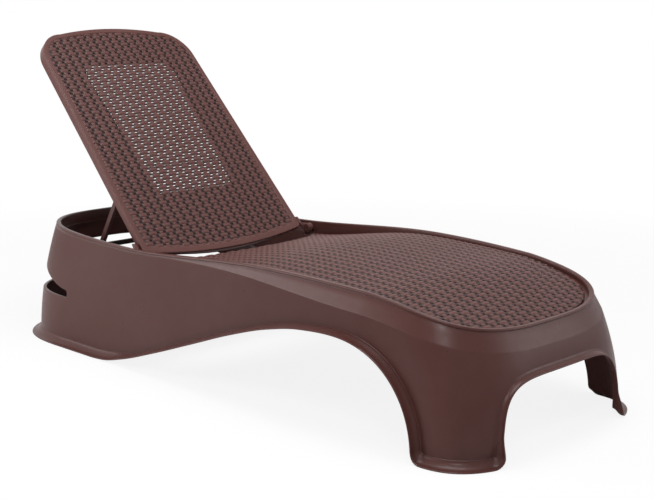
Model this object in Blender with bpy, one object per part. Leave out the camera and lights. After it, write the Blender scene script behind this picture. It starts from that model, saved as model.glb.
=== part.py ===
"""A moulded sun lounger: a skirted one-piece body with legs and arches, a rattan-look seat and a back
that tilts on two side pins and is held up by a folding prop on two notched rails.

Metres, +X to the foot end, -Y the near side, +Z up. The origin is on the floor under the middle.
"""

import math

import bpy
import numpy as np
from mathutils import Vector

# General clearances and moulding sizes
GAP = 0.0003
OVERRUN = 0.004
WALL = 0.004
BORE_PLAY = 0.0004

# Body plan: the hem on the floor, and the rim that stands inside it
BODY_LENGTH = 1.923
BODY_WIDTH = 0.766
HEAD_END, FOOT_END = -BODY_LENGTH / 2, BODY_LENGTH / 2
RIM_LENGTH = BODY_LENGTH - 0.151
RIM_HALF_WIDEST = BODY_WIDTH / 2 - 0.032
RIM_WIDEST_X = -0.030
RIM_HALF_HEAD = RIM_HALF_WIDEST - 0.024
RIM_HEAD_X = HEAD_END + 0.3275
RIM_HALF_FOOT = RIM_HALF_WIDEST - 0.015
RIM_FOOT_X = FOOT_END - 0.2355
RIM_HEAD_CAP = 0.392
RIM_FOOT_CAP = 0.097
HEM_HEAD_CAP = 0.292
HEM_FOOT_CAP = 0.178
RIM_HEAD_POWER, RIM_FOOT_POWER = 3.0, 3.05
HEM_HEAD_POWER, HEM_FOOT_POWER = 2.9, 4.7

# Where the back's hinge axis lies, and the size of the back beside it
HINGE_X, HINGE_Z = HEAD_END + 0.7065, 0.329
BACK_HALF = RIM_HALF_WIDEST - 0.0375

# Rim: its height along the body, its section and the chamfer below it
RIM_HEAD_Z = 0.360
RIM_HINGE_X, RIM_HINGE_Z = HINGE_X - 0.085, 0.348
RIM_PEAK_X, RIM_PEAK_Z = FOOT_END - 0.6915, 0.382
RIM_FALL_X, RIM_FALL_Z = FOOT_END - 0.3615, 0.368
RIM_FOOT_Z = 0.286
RIM_FALL_SHARE = 0.45
RIM_TOP = 0.014
RIM_ROUND = 0.004
INNER_LIP = 0.034
LIP_BEAD = 0.002
SHOULDER_DROP = 0.050
SHOULDER_OUT = 0.017
SHOULDER_START_X, SHOULDER_FULL_X = HINGE_X + 0.105, RIM_FALL_X
EDGE_DROP = 0.006
WALL_BULGE_POWER = 1.77

# Hem: the flange that runs round every bottom edge
HEM_OUT = 0.028
HEM_HIGH = 0.013
HEM_FILLET = 0.010
HEM_FILLET_SHARE = 0.3
HEM_ROUND = 0.005

# Arches and legs
ARCH_START_X = HEAD_END + 0.5515
ARCH_TOP_X = FOOT_END - 0.4315
ARCH_HIGH = 0.2575
LEG_X = FOOT_END - 0.1790
ARCH_LEG_POWER = 2.59
ARCH_RISE_SHARES = (
    (0.0, 0.0), (0.13, 0.115), (0.35, 0.385), (0.56, 0.655), (0.75, 0.865), (0.91, 0.985), (1.0, 1.0),
)
FOOT_ARCH_HALF = BODY_WIDTH / 2 - 0.1405
FOOT_ARCH_HIGH = 0.180
FOOT_ARCH_POWER = 5.2
LEG_CORNER = 0.036
STEEP_SHARE = 0.6

# Hand slot across the head end
SLOT_BOTTOM = 0.146
SLOT_END_X = HEAD_END + 0.3315
SLOT_END_HIGH = 0.026
SLOT_MIDDLE_HIGH = 0.114
SLOT_REACH = 0.045
SLOT_SPREAD_POWER, SLOT_RISE_POWER = 2.6, 0.62

# Seat
SEAT_HEAD_X = HINGE_X + 0.020
SEAT_HEAD_HOLLOW = 0.068
SEAT_HOLLOW_FADE = 0.260
SEAT_GROOVE = 0.010
SEAT_THICK = 0.006
SEAT_CROWN = 0.010
SEAT_DROP_HINGE = 0.036
SEAT_DROP_FOOT = 0.007
SEAT_DROP_X = SEAT_HEAD_X + 0.485
SEAT_FOOT_SLICE = 0.0006
SEAT_PLAY = 0.0006
LEDGE = 0.019
LEDGE_FROM, LEDGE_TO = 0.055, 0.025

# Openings through the seat and the back, in even rows
SEAT_OPENING_COLUMNS = 10
SEAT_OPENING_PITCH = 0.060
BACK_OPENING_COLUMNS = 7
BACK_OPENING_ROWS = 9
OPENING_WIDE_SHARE, OPENING_LONG_SHARE = 0.48, 0.18
OPENING_EDGE = 0.012

# Cross-beams under the seat and the hinge
BEAM_PLACES = (FOOT_END - 0.9415, FOOT_END - 0.6515, FOOT_END - 0.3715)
BEAM_WIDE = 0.036
BEAM_HIGH = 0.030
BEAM_EDGE = 0.003
BEAM_END_PLAY = 0.0008
BEAM_SEAT_PLAY = 0.0005
BEAM_SLOPE_REACH = 0.022
RIB_WIDE = 0.030
RIB_DRAFT = 0.0015
HINGE_BEAM_X = HINGE_X - 0.007
HINGE_BEAM_HIGH = 0.046
HINGE_BEAM_TOP = 0.262

# Back: tray-shaped panel and the ring frame behind it, measured from the hinge axis
BACK_ANGLE = math.radians(47.0)
BACK_LOWEST = math.radians(15.0)
BACK_START = 0.020
BACK_FACE = -0.013
BACK_SIDE = 0.741
BACK_TAPER = 0.024
BACK_CORNER = 0.102
BACK_TOP_RISE = 0.0205
BACK_FOOT_SAG = 0.042
BACK_DEEP = 0.033
BACK_SKIN = 0.0045
BACK_EDGE = 0.003
FRAME_THICK = 0.005
WINDOW_HALF = BACK_HALF - 0.135
WINDOW_FROM, WINDOW_TO = 0.208, 0.718
WINDOW_POWER = 9

# Hinge pins and the eyes that turn on them, outside the tray's two sides
EYE_RADIUS = 0.0155
EYE_ARM = 0.0075
EYE_ARM_HIGH = 0.0100
EYE_ARM_FROM, EYE_ARM_TO = 0.034, 0.080
EYE_TURN_SHARE = 0.35
EYE_WALL_PLAY = 0.0010
PIN_RADIUS = 0.0060
PIN_HEAD_RADIUS = 0.0155
PIN_HEAD = 0.0080
PIN_DOME = 0.0030
PIN_END = 0.009

# Prop
PROP_UP = 0.287
PROP_BEHIND = 0.037
PROP_LONG = 0.250
PROP_SLOPE = math.radians(59.5)
PROP_SIDE = BACK_HALF - 0.085
PROP_WIDE = 0.015
PROP_THICK = 0.012
PROP_EYE_RADIUS = 0.0095
PROP_LOWEST_SLOPE = math.radians(16.5)
PROP_PIN_RADIUS = 0.004
PROP_PIN_HEAD = 0.0065
PROP_PIN_HEAD_THICK = 0.003
PROP_LUG_THICK = 0.006
PROP_LUG_PLAY = 0.0008
PROP_LUG_HALF = 0.014
FOOT_BAR_RADIUS = 0.008
FOOT_BAR_CORE = 0.006

# Notched rails
RAIL_SIDE = PROP_SIDE - 0.025
RAIL_THICK = 0.014
RAIL_DEEP = 0.036
RAIL_PLAY = 0.0008
RAIL_END_PLAY = 0.0012
NOTCHES = 6
NOTCH_DEEP = 0.006
NOTCH_WIDE_SHARE = 0.62
RAIL_FALL = 0.012
RAIL_FOOT_HIGH = 0.036
RAIL_LEVEL_RUN = 0.060

# Screws
SCREW_RADIUS = 0.0020
SCREW_HEAD_RADIUS = 0.0045
SCREW_HEAD = 0.0025
SCREW_SIDES = 10
SCREW_DOME_SHARES = ((1.0, 0.6), (0.7, 0.9))
FRAME_SCREW_LONG = 0.0075
FRAME_SCREWS = (0.165, 0.465, 0.735)
FRAME_SCREW_EDGE = 0.060
BEAM_SCREW_EDGE = 0.014
SEAT_SCREW_SIDE = RAIL_SIDE - 0.033
SEAT_SCREW_BITE = 0.004
RAIL_SCREW_LONG = 0.050

# How finely the round shapes are cut, and how closely a place on the plan is sought
BODY_COLUMNS = 56
WALL_ROWS = 4
PATH_STEPS = 24
ROUND_SIDES = 20
SEAT_COLUMNS = 14
SEAT_ROWS = 26
BACK_STEPS = 7
PLAN_STEP = 0.004
SEARCH_TURNS = 40
SEARCH_PACE = 0.7

# Moulded polypropylene, the same brown throughout, and zinc-plated screws
BROWN = (0.115, 0.062, 0.058)
DARK_BROWN = (0.060, 0.034, 0.032)
STEEL = (0.420, 0.410, 0.400)


def clear_scene():
    for item in list(bpy.data.objects):
        bpy.data.objects.remove(item)


def finish(name, color, roughness, metallic):
    material = bpy.data.materials.new(name)
    material.use_nodes = True
    shader = material.node_tree.nodes["Principled BSDF"]
    shader.inputs["Base Color"].default_value = (*color, 1)
    shader.inputs["Roughness"].default_value = roughness
    shader.inputs["Metallic"].default_value = metallic
    return material


def add_object(name, points, faces, material, parent=None, smooth=True):
    """One named mesh object, in its parent's space where it has one."""
    mesh = bpy.data.meshes.new(name)
    mesh.from_pydata([tuple(map(float, point)) for point in points], [], faces)
    mesh.materials.append(material)
    if smooth:
        mesh.shade_smooth()
        mesh.set_sharp_from_angle(angle=math.radians(35))
    item = bpy.data.objects.new(name, mesh)
    bpy.context.scene.collection.objects.link(item)
    item.parent = parent
    return item


def signed_volume(points, faces):
    total = 0.0
    for face in faces:
        first = Vector(points[face[0]])
        for second, third in zip(face[1:-1], face[2:]):
            total += first.dot(Vector(points[second]).cross(Vector(points[third])))
    return total


def outward(points, faces):
    """The faces, turned round if they face into the solid."""
    if signed_volume(points, faces) < 0:
        return [tuple(reversed(face)) for face in faces]
    return faces


def loft(rings, closed=False):
    """Points and faces of a tube through equal rings, capped at its two ends unless it closes on itself."""
    count, around = len(rings), len(rings[0])
    points = [point for ring in rings for point in ring]
    faces = []
    for row in range(count if closed else count - 1):
        here, there = row * around, (row + 1) % count * around
        for side in range(around):
            turn = (side + 1) % around
            faces.append((here + side, here + turn, there + turn, there + side))
    if not closed:
        faces.append(tuple(reversed(range(around))))
        faces.append(tuple(range((count - 1) * around, count * around)))
    return points, outward(points, faces)


def turned(profile, base, axis, sides=ROUND_SIDES):
    """A solid turned about a line: the profile is (distance along the axis, radius) from end to end."""
    axis = Vector(axis).normalized()
    across = axis.orthogonal().normalized()
    up = axis.cross(across)
    rings = []
    for along, radius in profile:
        center = Vector(base) + axis * along
        angles = [2 * math.pi * side / sides for side in range(sides)]
        rings.append([center + (across * math.cos(a) + up * math.sin(a)) * radius for a in angles])
    return loft(rings)


def extruded(outline, low, high, place):
    """A flat outline drawn between two levels; place(point, level) puts each point in space."""
    return loft([[place(point, low) for point in outline], [place(point, high) for point in outline]])


def side_view(spot, level):
    """Places a point of an outline that is drawn as seen from the side."""
    return Vector((spot[0], level, spot[1]))


def from_above(spot, level):
    """Places a point of an outline that is drawn as seen from above."""
    return Vector((spot[0], spot[1], level))


def oblong(x, y, long, wide):
    return [(x - long, y - wide), (x + long, y - wide), (x + long, y + wide), (x - long, y + wide)]


def in_even_spans(start, end, count):
    """The middles of this many equal spans."""
    return [start + (end - start) * (2 * k + 1) / (2 * count) for k in range(count)]


def smooth_share(value, start, end):
    share = min(max((value - start) / (end - start), 0.0), 1.0)
    return share * share * (3 - 2 * share)


def through(places, value):
    """Height of a smooth curve through (place, height) pairs, level at both ends."""
    xs, ys = [p for p, _ in places], [h for _, h in places]
    slopes = [0.0] * len(xs)
    for k in range(1, len(xs) - 1):
        before = (ys[k] - ys[k - 1]) / (xs[k] - xs[k - 1])
        after = (ys[k + 1] - ys[k]) / (xs[k + 1] - xs[k])
        slopes[k] = 2 * before * after / (before + after) if before * after > 0 else 0.0
    k = min(max(int(np.searchsorted(xs, value)) - 1, 0), len(xs) - 2)
    width = xs[k + 1] - xs[k]
    t = min(max((value - xs[k]) / width, 0.0), 1.0)
    start, end = ys[k], ys[k + 1]
    lean_in, lean_out = slopes[k] * width, slopes[k + 1] * width
    return (
        start * (1 + 2 * t) * (1 - t) ** 2
        + lean_in * t * (1 - t) ** 2
        + end * t * t * (3 - 2 * t)
        + lean_out * t * t * (t - 1)
    )


def cap_share(inside, depth, power):
    """How much of the full width an end keeps this far inside its tip."""
    if inside >= depth:
        return 1.0
    return max(1 - (1 - inside / depth) ** power, 0.0) ** (1 / power)


def rim_half(x):
    end = RIM_LENGTH / 2
    if x < RIM_WIDEST_X:
        fall, reach = RIM_HALF_WIDEST - RIM_HALF_HEAD, RIM_HEAD_X - RIM_WIDEST_X
    else:
        fall, reach = RIM_HALF_WIDEST - RIM_HALF_FOOT, RIM_FOOT_X - RIM_WIDEST_X
    half = RIM_HALF_WIDEST - fall * ((x - RIM_WIDEST_X) / reach) ** 2
    head = cap_share(end + x, RIM_HEAD_CAP, RIM_HEAD_POWER)
    return half * head * cap_share(end - x, RIM_FOOT_CAP, RIM_FOOT_POWER)


def foot_tip():
    """Where the foot end's plan reaches in the middle, so that its feet reach the full length."""
    share = FOOT_ARCH_HALF / (BODY_WIDTH / 2 - HEM_OUT)
    bow = HEM_FOOT_CAP * (1 - (1 - share**HEM_FOOT_POWER) ** (1 / HEM_FOOT_POWER))
    return BODY_LENGTH / 2 - HEM_OUT + bow


def ground_half(x):
    """Half the width of the wall where it would meet the floor, inside the hem."""
    half = BODY_WIDTH / 2 - HEM_OUT
    head = cap_share(BODY_LENGTH / 2 - HEM_OUT + x, HEM_HEAD_CAP, HEM_HEAD_POWER)
    return half * head * cap_share(foot_tip() - x, HEM_FOOT_CAP, HEM_FOOT_POWER)


def rim_z(x):
    """The rim's height: one smooth curve that rolls over and keeps falling to the foot end."""
    foot = RIM_LENGTH / 2
    if x > RIM_FALL_X:
        share = (x - RIM_FALL_X) / (foot - RIM_FALL_X)
        fall = RIM_FALL_SHARE * share + (1 - RIM_FALL_SHARE) * share**2
        return RIM_FALL_Z + (RIM_FOOT_Z - RIM_FALL_Z) * fall
    places = (
        (-foot, RIM_HEAD_Z), (RIM_HINGE_X, RIM_HINGE_Z), (RIM_PEAK_X, RIM_PEAK_Z),
        (RIM_FALL_X, RIM_FALL_Z), (foot, RIM_FOOT_Z),
    )
    return through(places, x)


class Plan:
    """The body's plan from the middle of the head end, along one side, to the middle of the foot end."""

    SAMPLES = 3000

    def __init__(self):
        turns = np.linspace(0, math.pi, self.SAMPLES)
        rim_x = -np.cos(turns) * RIM_LENGTH / 2
        head, foot = BODY_LENGTH / 2 - HEM_OUT, foot_tip()
        ground_x = (foot - head) / 2 - np.cos(turns) * (foot + head) / 2
        self.rim = np.array([(x, -rim_half(x)) for x in rim_x])
        self.ground = np.array([(x, -ground_half(x)) for x in ground_x])
        steps = np.linalg.norm(np.diff((self.rim + self.ground) / 2, axis=0), axis=1)
        self.at = np.concatenate([[0], np.cumsum(steps)])
        self.length = self.at[-1]
        self.at /= self.length

    def point(self, way, share):
        """The plan at this way round (0 head, 1 foot), from the rim (share 0) out to the floor (1)."""
        mirror = 1
        if way < 0 or way > 1:
            way, mirror = (-way if way < 0 else 2 - way), -1
        line = self.rim + (self.ground - self.rim) * share
        x = np.interp(way, self.at, line[:, 0])
        return Vector((x, mirror * np.interp(way, self.at, line[:, 1]), 0))

    def outward(self, way, share):
        along = self.point(way + PLAN_STEP, share) - self.point(way - PLAN_STEP, share)
        return Vector((along.y, -along.x, 0)).normalized()

    def way_at_x(self, x):
        return float(np.interp(x, self.ground[:, 0], self.at))

    def way_at_foot_y(self, y):
        foot = self.ground[:, 0] > BODY_LENGTH / 2 - HEM_OUT - HEM_FOOT_CAP
        return float(np.interp(-y, self.ground[foot][:, 1], self.at[foot]))


def shoulder_share(x):
    return smooth_share(x, SHOULDER_START_X, SHOULDER_FULL_X)


def crease(plan, way):
    """Where the chamfer under the rim meets the wall: its height and how far it stands out from the rim."""
    x = plan.point(way, 0).x
    share = shoulder_share(x)
    return rim_z(x) - EDGE_DROP - SHOULDER_DROP * share, SHOULDER_OUT * share


def wall_point(plan, way, z):
    """A point of the outer wall, and the level direction that points out of it."""
    top, out = crease(plan, way)
    if z > top:
        rim = plan.point(way, 0)
        out *= 1 - (z - top) / max(rim_z(rim.x) - RIM_ROUND - top, GAP)
        normal = plan.outward(way, 0)
        return rim + normal * out + Vector((0, 0, z)), normal
    share = 1 - min(max(z / top, 0.0), 1.0) ** WALL_BULGE_POWER
    normal = plan.outward(way, share)
    return plan.point(way, share) + normal * out * (1 - share) + Vector((0, 0, z)), normal


def bottom_path(plan):
    """The lower edge of the skirt as (way, height), from the head middle to the foot middle."""
    start, top, leg = plan.way_at_x(ARCH_START_X), plan.way_at_x(ARCH_TOP_X), plan.way_at_x(LEG_X)
    face = plan.way_at_foot_y(FOOT_ARCH_HALF)
    corner = LEG_CORNER / plan.length
    path = [(start * k / PATH_STEPS, 0.0) for k in range(PATH_STEPS)]
    for k in range(PATH_STEPS):
        share = k / PATH_STEPS
        path.append((start + (top - start) * share, ARCH_HIGH * through(ARCH_RISE_SHARES, share)))
    path += leg_edge(top, leg, ARCH_HIGH, ARCH_LEG_POWER)
    path += round_corner(leg, corner, False)
    path += round_corner(face, -corner, True)
    path += reversed(leg_edge(1.0, face, FOOT_ARCH_HIGH, FOOT_ARCH_POWER))
    return path


def leg_edge(top, foot, high, power):
    """The edge from an arch's top down to where the leg's rounded corner starts."""
    lowest = math.asin(min((LEG_CORNER / high) ** (power / 2), 1.0))
    edge = []
    for k in range(PATH_STEPS + 1):
        turn = math.pi / 2 + (lowest - math.pi / 2) * k / PATH_STEPS
        way = top + (foot - top) * math.cos(turn) ** (2 / power)
        edge.append((way, high * math.sin(turn) ** (2 / power)))
    return edge


def round_corner(way, corner, rising):
    turns = [math.pi / 2 * k / PATH_STEPS for k in range(1, PATH_STEPS)]
    arc = [(way + corner * (1 - math.cos(t)), LEG_CORNER * (1 - math.sin(t))) for t in turns]
    return arc[::-1] if rising else arc


def even_columns(plan, path, count):
    """(way, height, way at the rim) at even steps along the lower edge.

    Above a leg the ways at the rim are spread evenly, so that no column crosses a steep edge.
    """
    spots = np.array([(*wall_point(plan, way, z)[0],) for way, z in path])
    run = np.concatenate([[0], np.cumsum(np.linalg.norm(np.diff(spots, axis=0), axis=1))])
    wanted = np.linspace(0, run[-1], count + 1)
    path_ways = np.array([way for way, _ in path])
    ways = np.interp(wanted, run, path_ways)
    heights = np.interp(wanted, run, [z for _, z in path])
    first = 2 * PATH_STEPS + round(PATH_STEPS * STEEP_SHARE)
    last = len(path) - 1 - round(PATH_STEPS * STEEP_SHARE)
    path_ways[first:last] = np.interp(run[first:last], run[[first, last]], path_ways[[first, last]])
    rim_ways = np.interp(wanted, run, path_ways)
    ways[-1] = rim_ways[-1] = 1.0
    return list(zip(ways, heights, rim_ways))


def seat_drop(x):
    """How far the seat's edge lies below the rim."""
    return SEAT_DROP_HINGE + (SEAT_DROP_FOOT - SEAT_DROP_HINGE) * smooth_share(x, SEAT_HEAD_X, SEAT_DROP_X)


def seat_edge_z(x):
    return rim_z(x) - seat_drop(x)


def body_section(plan, column, before, after):
    """The shell's closed section at one column, from the rim's top, down the outside and up the inside."""
    way, z, rim_way = column
    rim, out = plan.point(rim_way, 0), plan.outward(rim_way, 0)
    top = rim_z(rim.x)
    up = Vector((0, 0, 1))

    def at_rim(inside, height):
        return rim - out * inside + up * height

    _, normal = wall_point(plan, way, z)
    run = (wall_point(plan, *after)[0] - wall_point(plan, *before)[0]).normalized()
    down = run.cross(normal).normalized()
    along = Vector((-normal.y, normal.x, 0))

    def on_wall(level):
        return way + level * down.dot(along) / plan.length, z + level * down.z

    def at_hem(level, outside):
        spot, facing = wall_point(plan, *on_wall(level))
        return spot + facing * outside

    crease_z, _ = crease(plan, rim_way)
    foot_way, foot_z = on_wall(-HEM_HIGH - HEM_FILLET)
    rows = []
    for row in range(WALL_ROWS + 1):
        part = row / WALL_ROWS
        row_way = rim_way + (foot_way - rim_way) * part
        rows.append(wall_point(plan, row_way, crease_z + (foot_z - crease_z) * part))
    seated = smooth_share(rim.x, SEAT_HEAD_X - LEDGE_FROM, SEAT_HEAD_X - LEDGE_TO)
    ledge_z = top - INNER_LIP + (seat_edge_z(rim.x) - SEAT_THICK - SEAT_PLAY - top + INNER_LIP) * seated
    ledge = LIP_BEAD + (LEDGE - LIP_BEAD) * seated
    section = [at_rim(RIM_TOP - RIM_ROUND, top), at_rim(RIM_ROUND, top), at_rim(0, top - RIM_ROUND)]
    section += [spot for spot, _ in rows]
    section += [
        at_hem(-HEM_HIGH - HEM_FILLET * HEM_FILLET_SHARE, HEM_FILLET * HEM_FILLET_SHARE),
        at_hem(-HEM_HIGH, HEM_FILLET),
        at_hem(-HEM_HIGH, HEM_OUT - HEM_ROUND),
        at_hem(-HEM_HIGH + HEM_ROUND, HEM_OUT),
        at_hem(0, HEM_OUT),
        at_hem(0, HEM_OUT - WALL),
        at_hem(-HEM_HIGH + WALL, HEM_OUT - WALL),
        at_hem(-HEM_HIGH + WALL, -WALL),
    ]
    section += [spot - facing * WALL for spot, facing in reversed(rows)]
    section += [
        at_rim(WALL, top - WALL - RIM_ROUND / 2),
        at_rim(RIM_TOP - WALL, top - WALL - RIM_ROUND / 2),
        at_rim(RIM_TOP - WALL, ledge_z - WALL),
        at_rim(RIM_TOP + ledge, ledge_z - WALL),
        at_rim(RIM_TOP + ledge, ledge_z),
        at_rim(RIM_TOP, ledge_z),
        at_rim(RIM_TOP, top - RIM_ROUND),
    ]
    return section


def mirrored(points):
    return [Vector((p.x, -p.y, p.z)) for p in points]


def make_body(plan, material):
    path = bottom_path(plan)
    columns = even_columns(plan, path, BODY_COLUMNS)
    sections = []
    for k, column in enumerate(columns):
        before = columns[k - 1][:2] if k else (-columns[1][0], columns[1][1])
        after = columns[k + 1][:2] if k < BODY_COLUMNS else (2 - columns[-2][0], columns[-2][1])
        sections.append(body_section(plan, column, before, after))
    for end in (0, -1):
        for spot in sections[end]:
            spot.y = 0
    sections += [mirrored(section) for section in sections[-2:0:-1]]
    return add_object("body_shell", *loft(sections, closed=True), material)


def slot_high(share):
    """The slot's height, from the head middle (0) to the slot's end (1)."""
    rise = (1 - share**SLOT_SPREAD_POWER) ** (1 / SLOT_RISE_POWER)
    return SLOT_END_HIGH + (SLOT_MIDDLE_HIGH - SLOT_END_HIGH) * rise


def slot_cutter(plan):
    end = plan.way_at_x(SLOT_END_X)
    rings = []
    steps = PATH_STEPS // 2
    for k in range(-steps, steps + 1):
        share = abs(k) / steps
        way = end * share * (1 if k >= 0 else -1)
        top = SLOT_BOTTOM + slot_high(share)
        low, low_out = wall_point(plan, abs(way), SLOT_BOTTOM)
        high, high_out = wall_point(plan, abs(way), top)
        ring = [
            low + low_out * SLOT_REACH,
            low - low_out * SLOT_REACH,
            high - high_out * SLOT_REACH,
            high + high_out * SLOT_REACH,
        ]
        if way < 0:
            ring = mirrored(ring)
        if k == 0:
            for spot in ring:
                spot.y = 0
        rings.append(ring)
    return loft(rings)


def cut(target, cutters, material, name):
    """Cuts a list of (points, faces) solids out of the target with one Boolean."""
    points, faces = [], []
    for some_points, some_faces in cutters:
        start = len(points)
        points += some_points
        faces += [tuple(start + corner for corner in face) for face in some_faces]
    tool = add_object(name, points, faces, material, target.parent, smooth=False)
    tool.hide_render = True
    tool.display_type = "WIRE"
    tool.modifiers.new("flat_faces", "TRIANGULATE")
    target.modifiers.new("flat_faces", "TRIANGULATE")
    modifier = target.modifiers.new(name, "BOOLEAN")
    modifier.operation = "DIFFERENCE"
    modifier.solver = "EXACT"
    modifier.use_self = len(cutters) > 1
    modifier.object = tool


def join(target, solids, material, name):
    """Adds solids to the target with one Boolean union each."""
    for number, (points, faces) in enumerate(solids):
        tool = add_object(f"{name}_{number}", points, faces, material, target.parent, smooth=False)
        tool.hide_render = True
        tool.display_type = "WIRE"
        modifier = target.modifiers.new(tool.name, "BOOLEAN")
        modifier.operation = "UNION"
        modifier.solver = "EXACT"
        modifier.object = tool


def seat_half(x):
    """Half the width of the seat, inside the rim and its groove."""
    inside = RIM_TOP + SEAT_GROOVE
    tip = RIM_LENGTH / 2 - inside
    straight = rim_half(min(x, RIM_LENGTH / 2 - RIM_FOOT_CAP)) - inside
    return straight * cap_share(tip - x, RIM_FOOT_CAP - inside / 2, RIM_FOOT_POWER)


def seat_top(x, y):
    share = min(abs(y) / (RIM_HALF_WIDEST - RIM_TOP - SEAT_GROOVE), 1.0)
    return seat_edge_z(x) + SEAT_CROWN * (1 - share**2)


def seat_rows():
    """Stations along the seat, close together at its foot end and at each rib's two sides."""
    tip = RIM_LENGTH / 2 - RIM_TOP - SEAT_GROOVE
    depth = RIM_FOOT_CAP - (RIM_TOP + SEAT_GROOVE) / 2
    rows = [tip - SEAT_FOOT_SLICE] + [tip - depth * (k / 6) ** 2 for k in range(1, 7)]
    ribs = []
    for place in BEAM_PLACES:
        edge = RIB_WIDE / 2
        ribs += [place - edge - RIB_DRAFT, place - edge, place + edge, place + edge + RIB_DRAFT]
    spread = np.linspace(SEAT_HEAD_X, tip - depth, SEAT_ROWS)
    spread = [x for x in spread if all(abs(x - rib) > RIB_WIDE / 2 for rib in ribs)]
    return sorted(set(rows + ribs + list(map(float, spread))))


def is_rib(x):
    return any(abs(x - place) < RIB_WIDE / 2 + RIB_DRAFT / 2 for place in BEAM_PLACES)


def beam_top(place):
    lowest = min(seat_edge_z(place + side * BEAM_SLOPE_REACH) for side in (-1, 0, 1))
    return lowest - SEAT_THICK - SEAT_PLAY - WALL - BEAM_SEAT_PLAY


def seat_openings():
    """Rectangular openings through the seat, in even rows between the beams and clear of the ledge."""
    edge = RIM_TOP + LEDGE + OPENING_EDGE
    widest = RIM_HALF_WIDEST - edge
    wide = 2 * widest / SEAT_OPENING_COLUMNS * OPENING_WIDE_SHARE / 2
    room = BEAM_WIDE / 2 + OPENING_EDGE
    stops = [SEAT_HEAD_X + SEAT_HEAD_HOLLOW + OPENING_EDGE]
    for place in BEAM_PLACES:
        stops += [place - room, place + room]
    stops.append(RIM_LENGTH / 2 - edge)
    solids = []
    for start, end in zip(stops[::2], stops[1::2]):
        rows = max(round((end - start) / SEAT_OPENING_PITCH), 1)
        long = (end - start) / rows * OPENING_LONG_SHARE / 2
        for x in in_even_spans(start, end, rows):
            for y in in_even_spans(-widest, widest, SEAT_OPENING_COLUMNS):
                if abs(y) + wide > seat_half(x + long) - LEDGE - OPENING_EDGE:
                    continue
                low, high = seat_top(x, y) - SEAT_CROWN - SEAT_THICK, seat_top(x, y) + SEAT_CROWN
                solids.append(extruded(oblong(x, y, long, wide), low, high, from_above))
    return solids


def back_openings():
    """Rectangular openings through the back's skin, in even rows within the frame's window."""
    high, half = WINDOW_TO - WINDOW_FROM - 2 * OPENING_EDGE, WINDOW_HALF - OPENING_EDGE
    long = high / BACK_OPENING_ROWS * OPENING_LONG_SHARE / 2
    wide = 2 * half / BACK_OPENING_COLUMNS * OPENING_WIDE_SHARE / 2
    low, front = BACK_FACE - BACK_SKIN - OVERRUN, BACK_FACE + OVERRUN
    solids = []
    for up in in_even_spans(WINDOW_FROM + OPENING_EDGE, WINDOW_TO - OPENING_EDGE, BACK_OPENING_ROWS):
        for y in in_even_spans(-half, half, BACK_OPENING_COLUMNS):
            solids.append(extruded(oblong(up, y, long, wide), low, front, from_above))
    return solids


def make_seat(material):
    """A thin crowned panel; three ribs under it reach down to the cross-beams."""
    across = [math.sin(math.pi / 2 * (2 * k / SEAT_COLUMNS - 1)) for k in range(SEAT_COLUMNS + 1)]
    rings = []
    rib_side = RIM_TOP + LEDGE + SEAT_GROOVE
    for x in seat_rows():
        half = seat_half(x)
        upper, lower = [], []
        for share in across:
            y = share * half
            fade = 1 - smooth_share(x, SEAT_HEAD_X, SEAT_HEAD_X + SEAT_HOLLOW_FADE)
            hollow = SEAT_HEAD_HOLLOW * (1 - share**2) * fade
            spot = x + hollow
            top = seat_top(spot, y)
            under = top - SEAT_THICK
            if is_rib(x) and abs(y) < rim_half(x) - rib_side:
                under = beam_top(x_of_beam(x)) + GAP
            upper.append(Vector((spot, y, top)))
            lower.append(Vector((spot, y, under)))
        rings.append(upper + lower[::-1])
    return add_object("seat_panel", *loft(rings), material)


def x_of_beam(x):
    return min(BEAM_PLACES, key=lambda place: abs(place - x))


def wall_inside_half(plan, x, z):
    """Half the clear width between the two side walls at this place."""
    way = plan.way_at_x(x)
    for _ in range(6):
        spot, _ = wall_point(plan, way, z)
        way += (x - spot.x) / plan.length
    spot, normal = wall_point(plan, way, z)
    return abs(spot.y) - WALL / abs(normal.y)


def beam(name, plan, place, top, high, material):
    """A cross-beam with rounded long edges, cut to the walls' draft at each end."""
    half = min(wall_inside_half(plan, place + side * BEAM_WIDE / 2, top - high) for side in (-1, 1))
    high_half = min(wall_inside_half(plan, place + side * BEAM_WIDE / 2, top) for side in (-1, 1))
    across, edge = BEAM_WIDE / 2, BEAM_EDGE
    outline = [
        (-across, -high + edge), (-across + edge, -high), (across - edge, -high), (across, -high + edge),
        (across, -edge), (across - edge, 0), (-across + edge, 0), (-across, -edge),
    ]
    rings = []
    for side in (-1, 1):
        ring = []
        for x, z in outline:
            reach = high_half + (half - high_half) * (-z / high) - BEAM_END_PLAY
            ring.append(Vector((place + x, side * reach, top + z)))
        rings.append(ring)
    return add_object(name, *loft(rings), material)


def screw(name, base, axis, long, material, parent=None):
    """A pan-head screw: the base is the seat of its head, and the axis points along its shank."""
    profile = [
        *((-SCREW_HEAD * high, SCREW_HEAD_RADIUS * wide) for high, wide in SCREW_DOME_SHARES),
        (-GAP, SCREW_HEAD_RADIUS),
        (-GAP, SCREW_RADIUS),
        (long - SCREW_RADIUS, SCREW_RADIUS),
        (long, SCREW_RADIUS / 2),
    ]
    return add_object(name, *turned(profile, base, axis, SCREW_SIDES), material, parent)


def bore(base, axis, start, end, radius, sides=ROUND_SIDES):
    return turned([(start, radius), (end, radius)], base, axis, sides)


def screw_hole(base, axis, end):
    return bore(base, axis, -OVERRUN / 2, end, SCREW_RADIUS + BORE_PLAY, SCREW_SIDES)


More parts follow.
